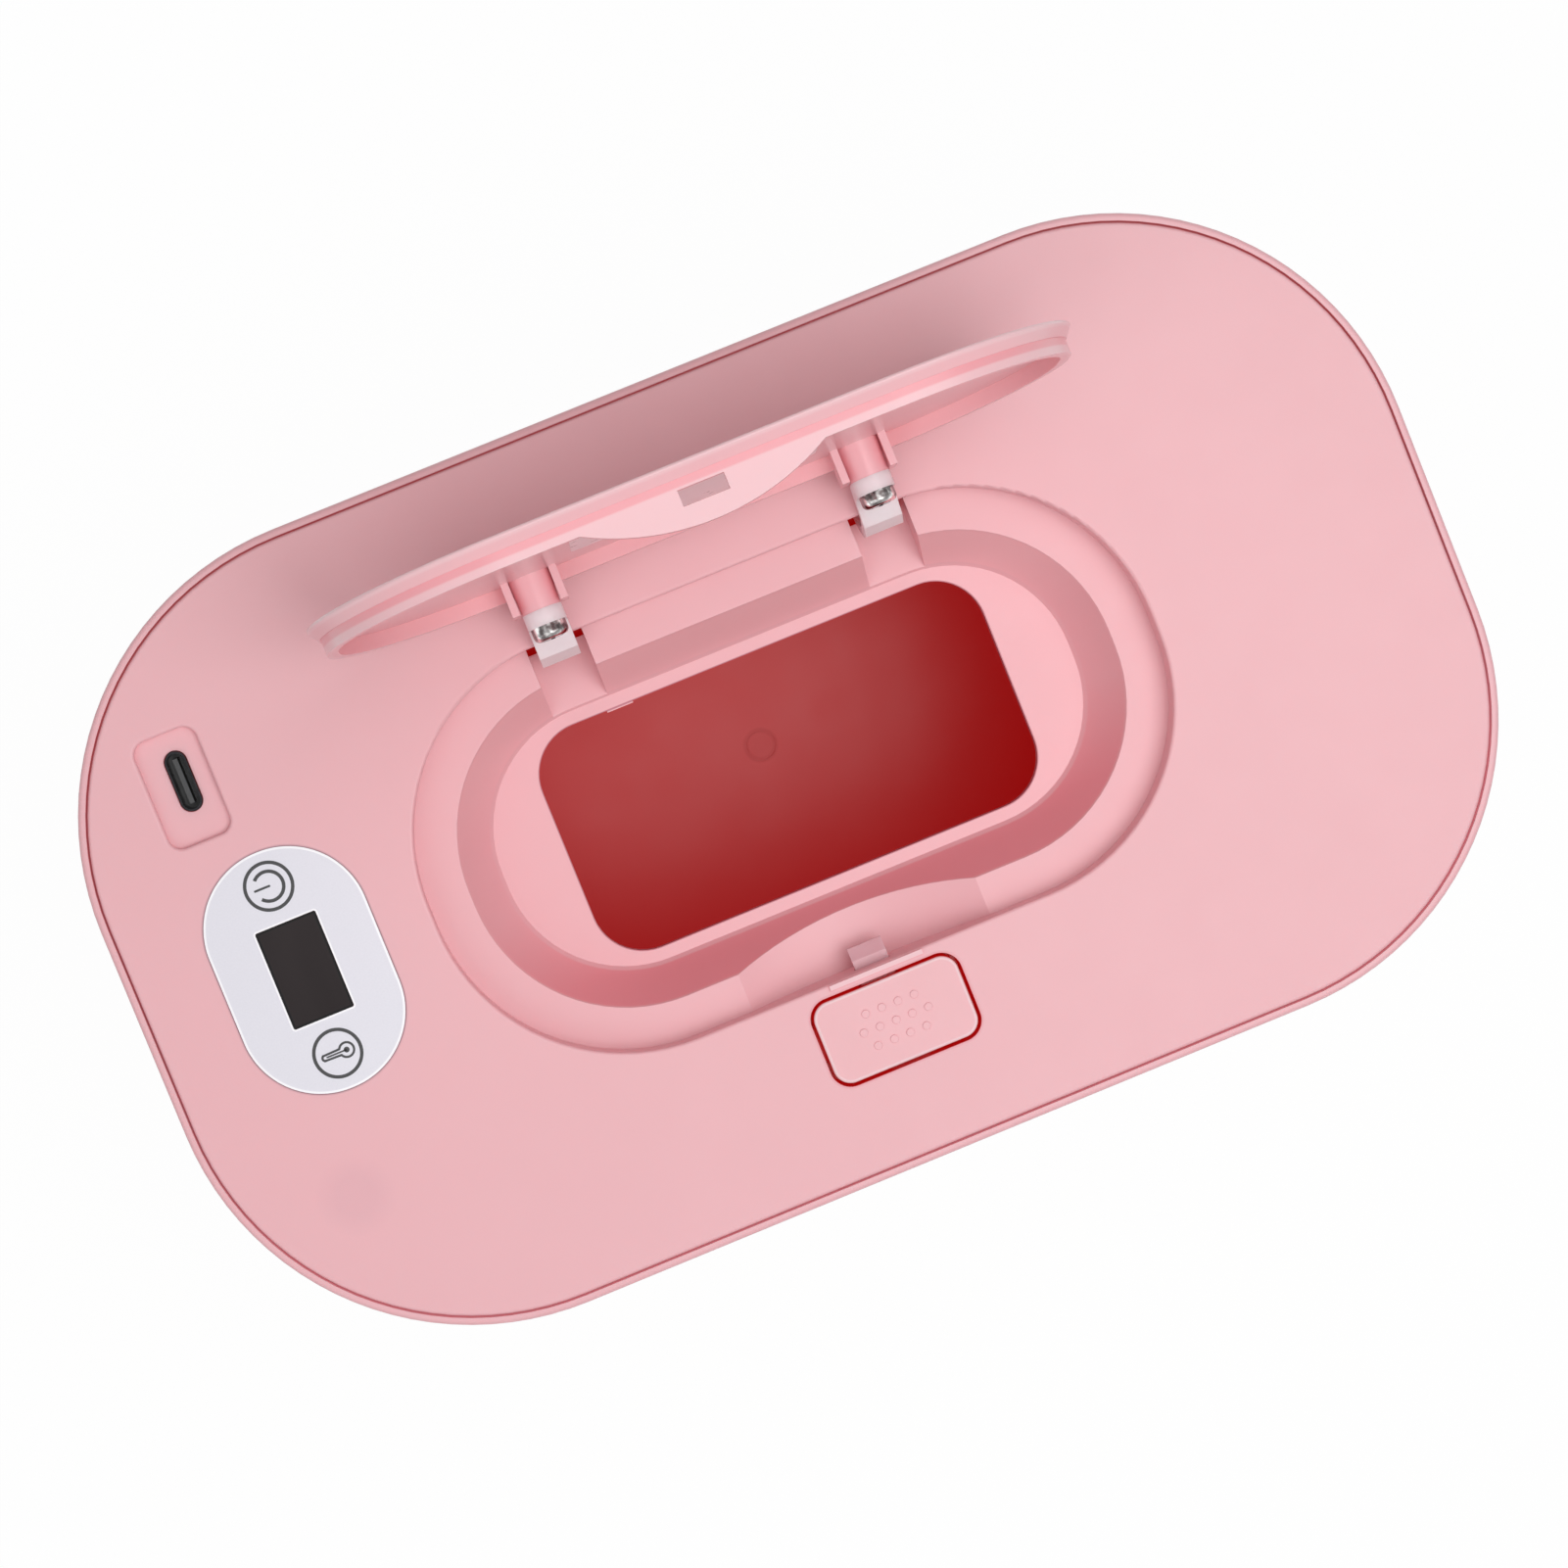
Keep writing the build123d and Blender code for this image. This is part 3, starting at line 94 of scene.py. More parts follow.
def place_camera():
    seat, aim = Vector(CAMERA_SEAT) * MM, Vector(CAMERA_AIM) * MM
    forward = (aim - seat).normalized()
    level = (Vector((1, 0, 0)) - forward * forward.x).normalized()
    upright = level.cross(forward)
    right = level * cos(CAMERA_ROLL) - upright * sin(CAMERA_ROLL)
    up = level * sin(CAMERA_ROLL) + upright * cos(CAMERA_ROLL)
    bpy.ops.object.camera_add()
    camera = bpy.context.object
    camera.name = "studio_camera"
    camera.matrix_world = Matrix.Translation(seat) @ Matrix((right, up, -forward)).transposed().to_4x4()
    camera.data.lens = CAMERA_LENS
    camera.data.clip_start = 0.01
    bpy.context.scene.camera = camera


# ---- Shader arithmetic ----
BLACK, WHITE = (0.0, 0.0, 0.0, 1.0), (1.0, 1.0, 1.0, 1.0)


class Signal:
    """A number that varies over a surface, for use in plain arithmetic."""

    def __init__(self, nodes, socket):
        self.nodes = nodes
        self.socket = socket

    def maths(self, operation, first, second=0.0, clamped=False):
        return self.nodes.add("ShaderNodeMath", {"operation": operation, "use_clamp": clamped},
                              {0: first, 1: second})

    def __add__(self, other):
        return self.maths("ADD", self, other)

    def __radd__(self, other):
        return self.maths("ADD", other, self)

    def __sub__(self, other):
        return self.maths("SUBTRACT", self, other)

    def __rsub__(self, other):
        return self.maths("SUBTRACT", other, self)

    def __mul__(self, other):
        return self.maths("MULTIPLY", self, other)

    def __rmul__(self, other):
        return self.maths("MULTIPLY", other, self)

    def __truediv__(self, other):
        return self.maths("DIVIDE", self, other)

    def __pow__(self, other):
        return self.maths("POWER", self, other)

    def __abs__(self):
        return self.maths("ABSOLUTE", self)

    def over(self, other):
        return self.maths("MAXIMUM", self, other)

    def least(self, other):
        return self.maths("MINIMUM", self, other)

    def clamped(self):
        return self.maths("ADD", self, 0.0, clamped=True)

    def under(self, limit, softness=0.1):
        """1 well below the limit, 0 well above it."""
        return ((limit - self) / softness + 0.5).clamped()

    def above(self, limit, softness=0.1):
        """1 well above the limit, 0 well below it."""
        return 1 - self.under(limit, softness)


class Nodes:
    """A node tree and the one way in which it gets its nodes."""

    def __init__(self, tree):
        self.tree = tree

    def add(self, kind, settings, inputs, output=0):
        """New node: its settings first, then its sockets, given as values or signals."""
        node = self.tree.nodes.new(kind)
        for name, value in settings.items():
            setattr(node, name, value)
        for name, value in inputs.items():
            if isinstance(value, Signal):
                self.tree.links.new(value.socket, node.inputs[name])
            else:
                node.inputs[name].default_value = value
        return Signal(self, node.outputs[output])

    def show(self, output, signal):
        """Links a shader to the tree's own output."""
        self.tree.links.new(signal.socket, self.tree.nodes[output].inputs["Surface"])


def tint(colour, gain=1.0):
    return tuple(channel * gain for channel in colour) + (1.0,)


class Finish(Nodes):
    """One material: a Principled shader and what feeds it. Its places x, y and z are in millimetres."""

    def __init__(self, name, **constants):
        self.material = bpy.data.materials.new(name)
        self.material.use_nodes = True
        super().__init__(self.material.node_tree)
        self.shader = self.tree.nodes["Principled BSDF"]
        for socket, value in constants.items():
            self.shader.inputs[socket.replace("_", " ").title().replace("Ior", "IOR")].default_value = value
        self.place = self.add("ShaderNodeTexCoord", {}, {}, "Object")
        self.x, self.y, self.z = (self.add("ShaderNodeSeparateXYZ", {}, {0: self.place}, axis) / MM
                                  for axis in "XYZ")
        self.material.cycles.emission_sampling = "NONE"
        self.colour = self.glow = BLACK

    def feed(self, socket, signal):
        self.tree.links.new(signal.socket, self.shader.inputs[socket])

    def noise(self, scale, detail=2.0, stretch=(1, 1, 1)):
        """Cloudy noise, with so many waves to the metre."""
        spot = self.add("ShaderNodeMapping", {}, {"Vector": self.place, "Scale": stretch})
        return self.add("ShaderNodeTexNoise", {}, {"Vector": spot, "Scale": scale, "Detail": detail})

    def blend(self, factor, first, second):
        return self.add("ShaderNodeMix", {"data_type": "RGBA"}, {0: factor, 6: first, 7: second}, 2)

    def bump(self, height, depth, strength):
        """Relief, its depth in metres."""
        self.feed("Normal", self.add("ShaderNodeBump", {}, {"Height": height, "Distance": depth,
                                                            "Strength": strength}))

    def paint(self, colour):
        self.colour = colour
        self.feed("Base Color", colour)

    def warm(self, where, colour):
        """A place that takes a warmer or paler colour than the rest."""
        self.paint(self.blend(where, self.colour, tint(colour)))

    def paint_glow(self, where, glow):
        """Painted glow in the emission, standing in for light that comes through the plastic from the other
        side.
        """
        self.glow = self.blend(where, self.glow, glow)
        self.feed("Emission Color", self.glow)
        self.shader.inputs["Emission Strength"].default_value = 1.0

    def paint_shade_and_glow(self, where, glow):
        """Painted deep red shade and a painted glow, standing in for light that comes through the plastic
        and bounces about in a narrow space.
        """
        self.paint(self.blend(where, self.colour, DEEP_SHADE_RED))
        self.paint_glow(where, glow)

    def closed_place(self):
        """Y and Z of a place on the lid as they are with the lid closed."""
        turn = radians(OPEN_ANGLE)
        back, up = self.y - PIVOT_Y, self.z - PIVOT_Z
        return back * cos(turn) - up * sin(turn) + PIVOT_Y, back * sin(turn) + up * cos(turn) + PIVOT_Z

    def from_edge(self, outline, y=None):
        """Distance outside a rounded rectangle seen from above, negative inside it."""
        centre, size, radius = outline
        across = abs(self.x - centre[0]) - (size[0] / 2 - radius)
        along = abs((y or self.y) - centre[1]) - (size[1] / 2 - radius)
        inside = across.over(along).least(0.0)
        across, along = across.over(0.0), along.over(0.0)
        return (across * across + along * along) ** 0.5 + inside - radius

    def from_spot(self, x, y):
        across, along = self.x - x, self.y - y
        return (across * across + along * along) ** 0.5

    def from_boss(self, y):
        """Distances across and along from the nearer hinge boss, given y with the lid closed."""
        return abs(abs(self.x) - HINGE_X), abs(y - BOSS_Y)


def dress(finish, *names):
    """Gives a finish to CAD parts."""
    for name in names:
        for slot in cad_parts[name].material_slots:
            slot.material = finish.material


# ---- Pink plastic ----
PINK = (0.83, 0.45, 0.484)
LID_PINK = (0.86, 0.475, 0.51)
BUTTON_PINK = (0.84, 0.45, 0.48)
# Colours of painted shade, painted highlights and painted glow, among the marks' and specks' own colours.
SHADE_PINK = (0.84, 0.31, 0.35)
HIGHLIGHT_PINK = (0.90, 0.62, 0.65)
GLOW_PINK = (0.95, 0.32, 0.34)
BOSS_LIT_PINK = (0.90, 0.46, 0.49)
LIT_SLOPE_PINK = (0.93, 0.50, 0.53)
RIM_HIGHLIGHT_PINK = (0.95, 0.78, 0.80)
SLOT_SHADE_RED = (0.72, 0.16, 0.20)
LIP_SHADE_RED = (0.42, 0.10, 0.14)
SEAT_SHADE = (0.42, 0.22, 0.27)
MARK_RED = (0.26, 0.0, 0.0)
SPECK_BROWN = (0.20, 0.06, 0.07)
SINK_SHADE_GREY = (0.42, 0.22, 0.30)
DEEP_SHADE_RED = (0.40, 0.030, 0.033, 1.0)
GLOW_RED = (0.172, 0.0, 0.0, 1.0)
SEAM_GLOW = (0.16, 0.04, 0.045, 1.0)
FRONT_GLOW = (0.11, 0.045, 0.052, 1.0)
BOSS_GLOW = (0.03, 0.006, 0.008, 1.0)

CLOUD_GAIN, STREAK_GAIN = 0.025, 1.06
SPECK_CELLS, SPECK_SIZE, CLEAN_SHARE = 48.0, 0.012, 0.86


def moulded_pink(name, colour, roughness, coat, sink_marks=()):
    """Moulded plastic: cloudy colour, fine grain, a few specks, and painted shade where shallow sink marks
    dip over bosses.
    """
    finish = Finish(name, roughness=roughness, coat_weight=coat, coat_roughness=0.22, ior=1.49,
                    subsurface_weight=0.12, subsurface_radius=(0.004, 0.0015, 0.0015), subsurface_scale=1.0)
    cloud = finish.noise(14.0, 3.0)
    streak = finish.noise(30.0, 2.0, (1.0, 0.25, 1.0))
    shade = finish.blend(cloud, tint(colour, 1 - CLOUD_GAIN), tint(colour, 1 + CLOUD_GAIN))
    shade = finish.blend((streak - 0.55).clamped(), shade, tint(colour, STREAK_GAIN))
    cells = {"Vector": finish.place, "Scale": SPECK_CELLS}
    speck = finish.add("ShaderNodeTexVoronoi", {}, cells).under(SPECK_SIZE, 0.005)
    chosen = finish.add("ShaderNodeSeparateColor", {},
                        {0: finish.add("ShaderNodeTexVoronoi", {}, cells, "Color")})
    finish.paint(finish.blend(speck * chosen.above(CLEAN_SHARE, 0.01) * 0.6, shade, tint(SPECK_BROWN)))
    # Painted shade at each sink mark.
    for x, y, radius in sink_marks:
        finish.warm(finish.from_spot(x, y).under(radius, 3.2) * 0.11, SINK_SHADE_GREY)
    finish.feed("Roughness", finish.noise(160.0, 4.0) * 0.10 + (roughness - 0.05))
    finish.bump(finish.noise(5200.0, 1.0) * 0.6 + finish.noise(1400.0, 2.0) * 0.4, 0.000012, 0.6)
    return finish


def above_base(finish):
    """The tub's floor and what is over it, but not its underside."""
    return finish.z.above(2.7, 0.4)


def tub_inside(finish):
    """The tub's cavity, within walls that lean and round inwards, where deep red shade and a red glow are
    painted, more towards its floor.
    """
    lean = (TOP - RIM_BAND - finish.z).over(0.0) * WALL_LEAN
    rounding = (BASE_ROUND_Z - finish.z).over(0.0) * 0.45
    edge = finish.from_edge(TUB) + lean + rounding
    return edge.under(-TUB_WALL / 2, 0.3) * above_base(finish) * finish.z.under(58.0, 36.0)


def gate_mark(finish):
    """Ring and dimple where the tub was gated, on its floor."""
    spread = finish.from_spot(0.0, 0.0)
    ring = abs(spread - GATE_RADIUS).under(0.45, 0.4)
    dimple = spread.under(2.2, 0.8) * 0.4
    return ring.over(dimple) * above_base(finish) * finish.z.under(5.0, 0.5)


def light_the_seam(finish):
    """The walls of the fine gap between the rim of the tub and the panel: painted deep red shade and a
    painted red glow at the back, and a paler painted glow towards the front, where more light falls in."""
    edge = finish.from_edge(TUB)
    walls = abs(edge + (RIM_WIDTH + PANEL_INSET) / 2).under(0.30)
    seam = walls * finish.z.under(TOP - 0.45, 0.3) * finish.z.above(TOP - RIM_BAND)
    front = finish.y.under(0.0, 70.0)
    finish.paint_shade_and_glow(seam * (1 - front), SEAM_GLOW)
    finish.paint_glow(seam * front, FRONT_GLOW)


def under_panel(finish):
    """Everything under the panel's skin outside the bowl, and the walls of the button's slot."""
    outside_bowl = finish.from_edge(RECESS).above(0.4)
    below_skin = finish.z.under(TOP - PANEL_THICKNESS + 0.4)
    slot = finish.from_edge(BUTTON_SLOT)
    return (outside_bowl * below_skin).over(slot.under(0.12) * finish.z.under(TOP - 0.12))


def inside_tray(finish):
    """The hollow of the heater tray, above its floor."""
    return finish.from_edge(TRAY).under(-0.9, 0.2) * finish.z.above(TRAY_FLOOR_Z - 1.0, 0.2)


def finger_scoop(finish):
    """The round dip in the front of the ledge."""
    rise = finish.z - SCOOP_AXIS_Z
    reach = (finish.x * finish.x + rise * rise) ** 0.5
    return abs(reach - SCOOP_RADIUS).under(0.15) * finish.y.under(-20.0, 1.0)


def finish_cover(finish):
    """Painted shade on the bowl's slopes, strongest at the front, and painted light on the back slopes;
    painted lines of shade at the opening's lip and the label's seat, painted red shade round the button,
    and painted shade and a painted highlight on the ridge."""
    well = finish.from_edge(RECESS).under(-SLOPE_INSET, 0.4)
    slopes = well * finish.z.under(LEDGE_Z - 0.3, 0.4) * finish.z.above(WELL_Z + 0.9, 0.4)
    front = finish.y.under(-12.0, 14.0)
    # Painted shade on the bowl's slopes, strongest at the front.
    finish.warm(slopes * (1 - finger_scoop(finish)) * (front * 0.85 + 0.2), SHADE_PINK)
    # Painted light on the back slopes.
    finish.warm(slopes * finish.y.above(12.0, 10.0) * 0.6, LIT_SLOPE_PINK)
    # Painted red shade on the panel round the button's slot.
    slot_shade = finish.from_edge(BUTTON_SLOT).under(0.18, 0.5)
    finish.warm(slot_shade * 0.5, SLOT_SHADE_RED)
    # Painted line of shade at the opening's lip.
    lip = abs(finish.from_edge(OPENING)).under(0.14)
    finish.warm(lip * finish.z.under(WELL_Z + 0.5, 0.2) * 0.8, LIP_SHADE_RED)
    # Painted shade round the label's seat.
    label_seat_shade = finish.from_edge(LABEL).under(0.22, 0.3)
    finish.warm(label_seat_shade * 0.7, SEAT_SHADE)
    # Painted shade at the ridge's foot.
    ridge = finish.from_edge(RIDGE).under(0.12, 0.3)
    foot = finish.z.above(TOP - 0.1, 0.05) * finish.z.under(TOP + 0.3)
    finish.warm(ridge * foot * 0.6, SHADE_PINK)
    # Painted highlight on the ridge's top.
    finish.warm(finish.z.above(TOP + 0.35) * 0.55, HIGHLIGHT_PINK)
    # Painted deep red shade and a red glow under the panel's skin and on the walls of the button's slot.
    finish.paint_shade_and_glow(under_panel(finish), GLOW_RED)
    light_the_seam(finish)


def finish_lid(finish):
    """Painted highlights along its thin outer edge and the skirt's lip, painted shade inside the skirt, and
    a painted glow on the skirt's inner wall and round the bosses.
    """
    y, z = finish.closed_place()
    edge = finish.from_edge(LID, y)
    skirt_root = TOP - LID_THICKNESS
    skirt_lip = z.under(skirt_root - 1.1, 0.3)
    skirt_side = edge.under(-0.9, 0.2) * edge.above(-2.0, 0.2) * z.under(skirt_root)
    # Painted shade on the skirt's sides, and a painted highlight on its lip.
    finish.warm(skirt_side * (1 - skirt_lip) * 0.7, SHADE_PINK)
    finish.warm(skirt_side * skirt_lip * 0.4, HIGHLIGHT_PINK)
    # Painted highlight along the lid's thin outer edge.
    finish.warm(edge.above(-0.25, 0.2) * 0.45, HIGHLIGHT_PINK)
    # Painted glow on the skirt's inner wall.
    inner_wall = abs(edge + (SKIRT_INSET + SKIRT_THICKNESS + 0.2)).under(0.35, 0.3)
    finish.warm(inner_wall * z.under(skirt_root + 0.1, 0.2) * 0.2, GLOW_PINK)
    across, along = finish.from_boss(y)
    spread = (across * across + along * along) ** 0.5
    # Painted light round the bosses, in colour and emission.
    near_boss = abs(spread - BOSS_RADIUS).under(1.0, 0.8) * z.under(skirt_root - 0.1, 0.2)
    finish.warm(near_boss * 0.3, BOSS_LIT_PINK)
    finish.paint_glow(near_boss, BOSS_GLOW)


# ---- Other finishes ----
def plain(name, dark, light, scale, roughness, grain=0.00001, **constants):
    """Simple mottled finish for small and hidden parts."""
    finish = Finish(name, roughness=roughness, **constants)
    mottle = finish.noise(scale, 3.0)
    finish.paint(finish.blend(mottle, tint(dark), tint(light)))
    finish.feed("Roughness", mottle * 0.16 + (roughness - 0.08))
    finish.bump(finish.noise(scale * 8, 2.0), grain, 0.5)
    return finish


def milky(name, dark, light):
    """Natural translucent plastic of the arms, the bolt and its guide."""
    finish = Finish(name, roughness=0.34, ior=1.48, subsurface_weight=0.45,
                    subsurface_radius=(0.004, 0.0032, 0.0032), subsurface_scale=1.0)
    finish.paint(finish.blend(finish.noise(260.0, 3.0), tint(dark), tint(light)))
    finish.feed("Roughness", finish.noise(900.0, 2.0) * 0.12 + 0.28)
    finish.bump(finish.noise(2400.0, 2.0), 0.00001, 0.5)
    return finish


def bright_steel(name):
    """Plated screw and pin steel, with painted dark reflections in patches across its gloss."""
    finish = Finish(name, metallic=1.0, roughness=0.17)
    painted_reflection = ((finish.noise(700.0, 2.0) - 0.5) * 6.0 + 0.6).clamped()
    finish.paint(finish.blend(painted_reflection, (0.17, 0.155, 0.155, 1.0), (0.97, 0.96, 0.95, 1.0)))
    finish.feed("Roughness", finish.noise(2600.0, 2.0) * 0.16 + 0.08)
    finish.bump(finish.noise(1500.0, 3.0), 0.00002, 0.5)
    return finish


def paint_hinge_screw_shade(finish):
    """Painted shade in the cross slots of the two hinge screws, and painted dark reflections on their rims.
    """
    across, along = finish.from_boss(finish.closed_place()[0])
    narrow = across.least(along).under(DRIVER_WIDTH * 0.55, 0.12)
    short = across.over(along).under(DRIVER_LENGTH * 0.52, 0.12)
    rim = across.over(along).above(SCREW_RIM, 0.25)
    finish.warm((narrow * short).over(rim * 0.7), (0.07, 0.055, 0.055))


def spring_wire():
    finish = Finish("spring_wire", metallic=1.0, roughness=0.3)
    finish.paint(finish.blend(finish.noise(1200.0), (0.40, 0.39, 0.37, 1.0), (0.62, 0.61, 0.59, 1.0)))
    finish.feed("Roughness", finish.noise(3000.0) * 0.2 + 0.22)
    finish.bump(finish.noise(4200.0, 1.0), 0.000008, 0.5)
    return finish


def silver_film():
    """Satin silver film with a fine pearl, and a painted highlight along its edge and round the display
    window.
    """
    finish = Finish("silver_film", metallic=0.12, roughness=0.36, coat_weight=0.25, coat_roughness=0.3)
    pearl = finish.noise(3600.0, 2.0)
    shade = finish.noise(38.0, 2.0, (1.0, 0.6, 1.0))
    colour = finish.blend(pearl, (0.625, 0.615, 0.675, 1.0), (0.69, 0.68, 0.74, 1.0))
    colour = finish.blend(shade * 0.30, colour, (0.80, 0.785, 0.84, 1.0))
    # Painted highlight along the label's edge and round the window.
    rim = finish.from_edge(LABEL).above(-0.32, 0.12)
    hole = finish.from_edge(WINDOW).under(0.36, 0.12)
    finish.paint(finish.blend((rim + hole).clamped() * 0.8, colour, (0.92, 0.91, 0.93, 1.0)))
    finish.feed("Roughness", pearl * 0.14 + 0.29)
    finish.bump(pearl, 0.000006, 0.4)
    return finish


def smoked_window():
    """Dark display window with a printed black border and faint wipe marks."""
    finish = Finish("smoked_window", roughness=0.2, ior=1.4, specular_ior_level=0.3)
    border = finish.from_edge(WINDOW).above(-0.28)
    wipe = finish.noise(70.0, 4.0, (1.0, 0.35, 1.0))
    colour = finish.blend(wipe, (0.014, 0.009, 0.010, 1.0), (0.026, 0.018, 0.019, 1.0))
    finish.paint(finish.blend(border, colour, (0.006, 0.006, 0.006, 1.0)))
    finish.feed("Roughness", wipe * 0.18 + 0.10)
    return finish


def heater_film():
    """Amber film with the copper track showing through in long runs."""
    finish = plain("amber_film", (0.42, 0.17, 0.03), (0.52, 0.22, 0.05), 60.0, 0.3)
    wave = finish.add("ShaderNodeTexWave", {"bands_direction": "Y"},
                      {"Vector": finish.place, "Scale": 40.0, "Distortion": 0.0})
    track = wave.above(0.55, 0.08)
    finish.paint(finish.blend(track * 0.8, (0.46, 0.19, 0.04, 1.0), (0.20, 0.07, 0.02, 1.0)))
    finish.bump(track, 0.00004, 0.8)
    return finish


def brushed_plate():
    finish = Finish("brushed_plate", metallic=1.0, roughness=0.35)
    brush = finish.noise(1100.0, 3.0, (0.03, 1.0, 1.0))
    finish.paint(finish.blend(brush, (0.62, 0.62, 0.63, 1.0), (0.80, 0.80, 0.81, 1.0)))
    finish.feed("Roughness", brush * 0.2 + 0.26)
    finish.bump(brush, 0.00001, 0.6)
    return finish


def circuit_board():
    """Green board with paler copper runs under the lacquer."""
    finish = Finish("circuit_green", roughness=0.32, coat_weight=0.4, coat_roughness=0.15)
    runs = finish.add("ShaderNodeTexBrick", {"offset": 0.37},
                      {"Vector": finish.place, "Color1": WHITE, "Color2": WHITE, "Mortar": BLACK,
                       "Scale": 240.0, "Mortar Size": 0.05}, "Fac")
    finish.paint(finish.blend(runs, (0.015, 0.115, 0.040, 1.0), (0.035, 0.20, 0.075, 1.0)))
    finish.feed("Roughness", finish.noise(500.0) * 0.12 + 0.26)
    finish.bump(runs, 0.00003, 0.7)
    return finish


# ---- Dressing the parts ----
place_camera()

cover_pink = moulded_pink("cover_pink", PINK, 0.46, 0.06, sink_marks=(SINK_MARK,))
finish_cover(cover_pink)
tub_pink = moulded_pink("tub_pink", PINK, 0.44, 0.08)
# Painted deep red shade and a red glow in the tub's cavity.
tub_pink.paint_shade_and_glow(tub_inside(tub_pink), GLOW_RED)
light_the_seam(tub_pink)
tub_pink.warm(gate_mark(tub_pink) * 0.6, MARK_RED)
tray_pink = moulded_pink("tray_pink", PINK, 0.46, 0.06)
# Painted deep red shade and a red glow in the tray's hollow.
tray_pink.paint_shade_and_glow(inside_tray(tray_pink), GLOW_RED)
lid_pink = moulded_pink("lid_pink", LID_PINK, 0.34, 0.35)
finish_lid(lid_pink)
button_pink = moulded_pink("button_pink", BUTTON_PINK, 0.42, 0.10)
# Painted highlight along the button's top rim.
button_rim_highlight = button_pink.from_edge(BUTTON_SLOT).above(-0.95, 0.2)
button_pink.warm(button_rim_highlight * 0.45, RIM_HIGHLIGHT_PINK)
# Painted deep red shade and a red glow on the button's sides.
button_pink.paint_shade_and_glow(button_pink.z.under(TOP - 0.22, 0.12), GLOW_RED)
hinge_steel = bright_steel("hinge_screw_steel")
# Painted shade in the hinge screws' slots and painted dark reflections on their rims.
paint_hinge_screw_shade(hinge_steel)

dress(cover_pink, "cover_panel")
dress(tray_pink, "cover_tray")
dress(tub_pink, "tub")
dress(lid_pink, "lid")
dress(button_pink, "release_button")
dress(milky("arm_acetal", (0.92, 0.75, 0.79), (0.98, 0.87, 0.90)),
      "hinge_arm_left", "hinge_arm_right", "latch_guide")
dress(milky("bolt_acetal", (0.66, 0.37, 0.41), (0.74, 0.45, 0.49)), "latch_bolt")
dress(hinge_steel, "hinge_screws")
dress(bright_steel("bright_steel"), "hinge_pins", "cover_screws", "board_screws", "guide_screws")
dress(spring_wire(), "hinge_springs", "button_springs", "latch_spring", "touch_springs")
dress(silver_film(), "control_label")
dress(smoked_window(), "display_window")
dress(plain("moulded_black", (0.012, 0.012, 0.013), (0.030, 0.030, 0.032), 700.0, 0.38),
      "display_module", "board_chips", "temperature_sensor", "usb_tongue")
dress(plain("dark_shell", (0.012, 0.012, 0.014), (0.03, 0.03, 0.033), 900.0, 0.24, metallic=0.9),
      "usb_shell")
dress(circuit_board(), "control_board")
dress(plain("nylon_white", (0.62, 0.61, 0.56), (0.74, 0.73, 0.68), 500.0, 0.45), "wire_connectors")
dress(plain("wire_red", (0.42, 0.02, 0.02), (0.55, 0.04, 0.03), 300.0, 0.48), "heater_wires")
dress(plain("wire_white", (0.62, 0.62, 0.60), (0.76, 0.76, 0.74), 300.0, 0.48), "sensor_wires")
dress(plain("fuse_ceramic", (0.62, 0.60, 0.54), (0.74, 0.72, 0.67), 800.0, 0.5), "thermal_fuse")
dress(heater_film(), "heating_film")
dress(brushed_plate(), "heating_plate")
# The pad has a painted red glow.
dress(plain("red_foam", (0.26, 0.025, 0.03), (0.36, 0.045, 0.05), 900.0, 0.85, 0.0001,
            emission_color=GLOW_RED, emission_strength=1.0), "insulation_pad")
dress(plain("seal_silicone", (0.66, 0.62, 0.61), (0.76, 0.73, 0.72), 400.0, 0.5), "cover_seal")
dress(plain("foot_rubber", (0.55, 0.33, 0.34), (0.64, 0.41, 0.42), 500.0, 0.7, 0.00004), "tub_feet")
dress(plain("blank_sticker", (0.83, 0.665, 0.695), (0.86, 0.70, 0.73), 260.0, 0.3), "lid_sticker")


# ---- Coil springs ----
WELD = 0.0002
UP, FORWARD = 2, 1


def start_piece():
    bpy.ops.object.select_all(action="DESELECT")


def wound_spring(name, node, axis):
    """A coil spring: the CAD spring's mesh copied, its doubled points welded, and shown in place of the CAD
    part.
    """
    coil = bpy.data.objects.new(name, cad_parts[node].data.copy())
    bpy.context.collection.objects.link(coil)
    start_piece()
    coil.select_set(True)
    bpy.context.view_layer.objects.active = coil
    bpy.ops.object.mode_set(mode="EDIT")
    bpy.ops.mesh.select_all(action="SELECT")
    bpy.ops.mesh.remove_doubles(threshold=WELD * MM)
    bpy.ops.object.mode_set(mode="OBJECT")
    foot, far_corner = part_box(node)
    head = foot.copy()
    head[axis] = far_corner[axis]
    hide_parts(node)
    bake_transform(coil)


wound_spring("button_coils", "button_springs", UP)
wound_spring("latch_coil", "latch_spring", FORWARD)

# ---- Touch icons, inked on the label ----
INK_Z = 90.0
INK_THICKNESS = 0.02
INK_STROKE = 0.5
POWER, THERMOMETER = (-75.55, 13.0), (-75.55, -12.75)
RING_RADIUS = 3.65
ARC_RADIUS, ARC_GAP = 2.38, 41
STEM_REACH, STEM_END, STEM_HALF = 2.24, 0.24, 0.17
BULB, BULB_RADIUS = (THERMOMETER[0] + 1.36, THERMOMETER[1]), 1.22
TUBE_HALF, TUBE_DRAW, TUBE_STROKE = 0.6, 2.4, 0.33
NECK_REACH, NECK_STRETCH = 1.06, 2.4
LINE_LENGTH, LINE_HALF, DOT_RADIUS = 3.1, 0.12, 0.42


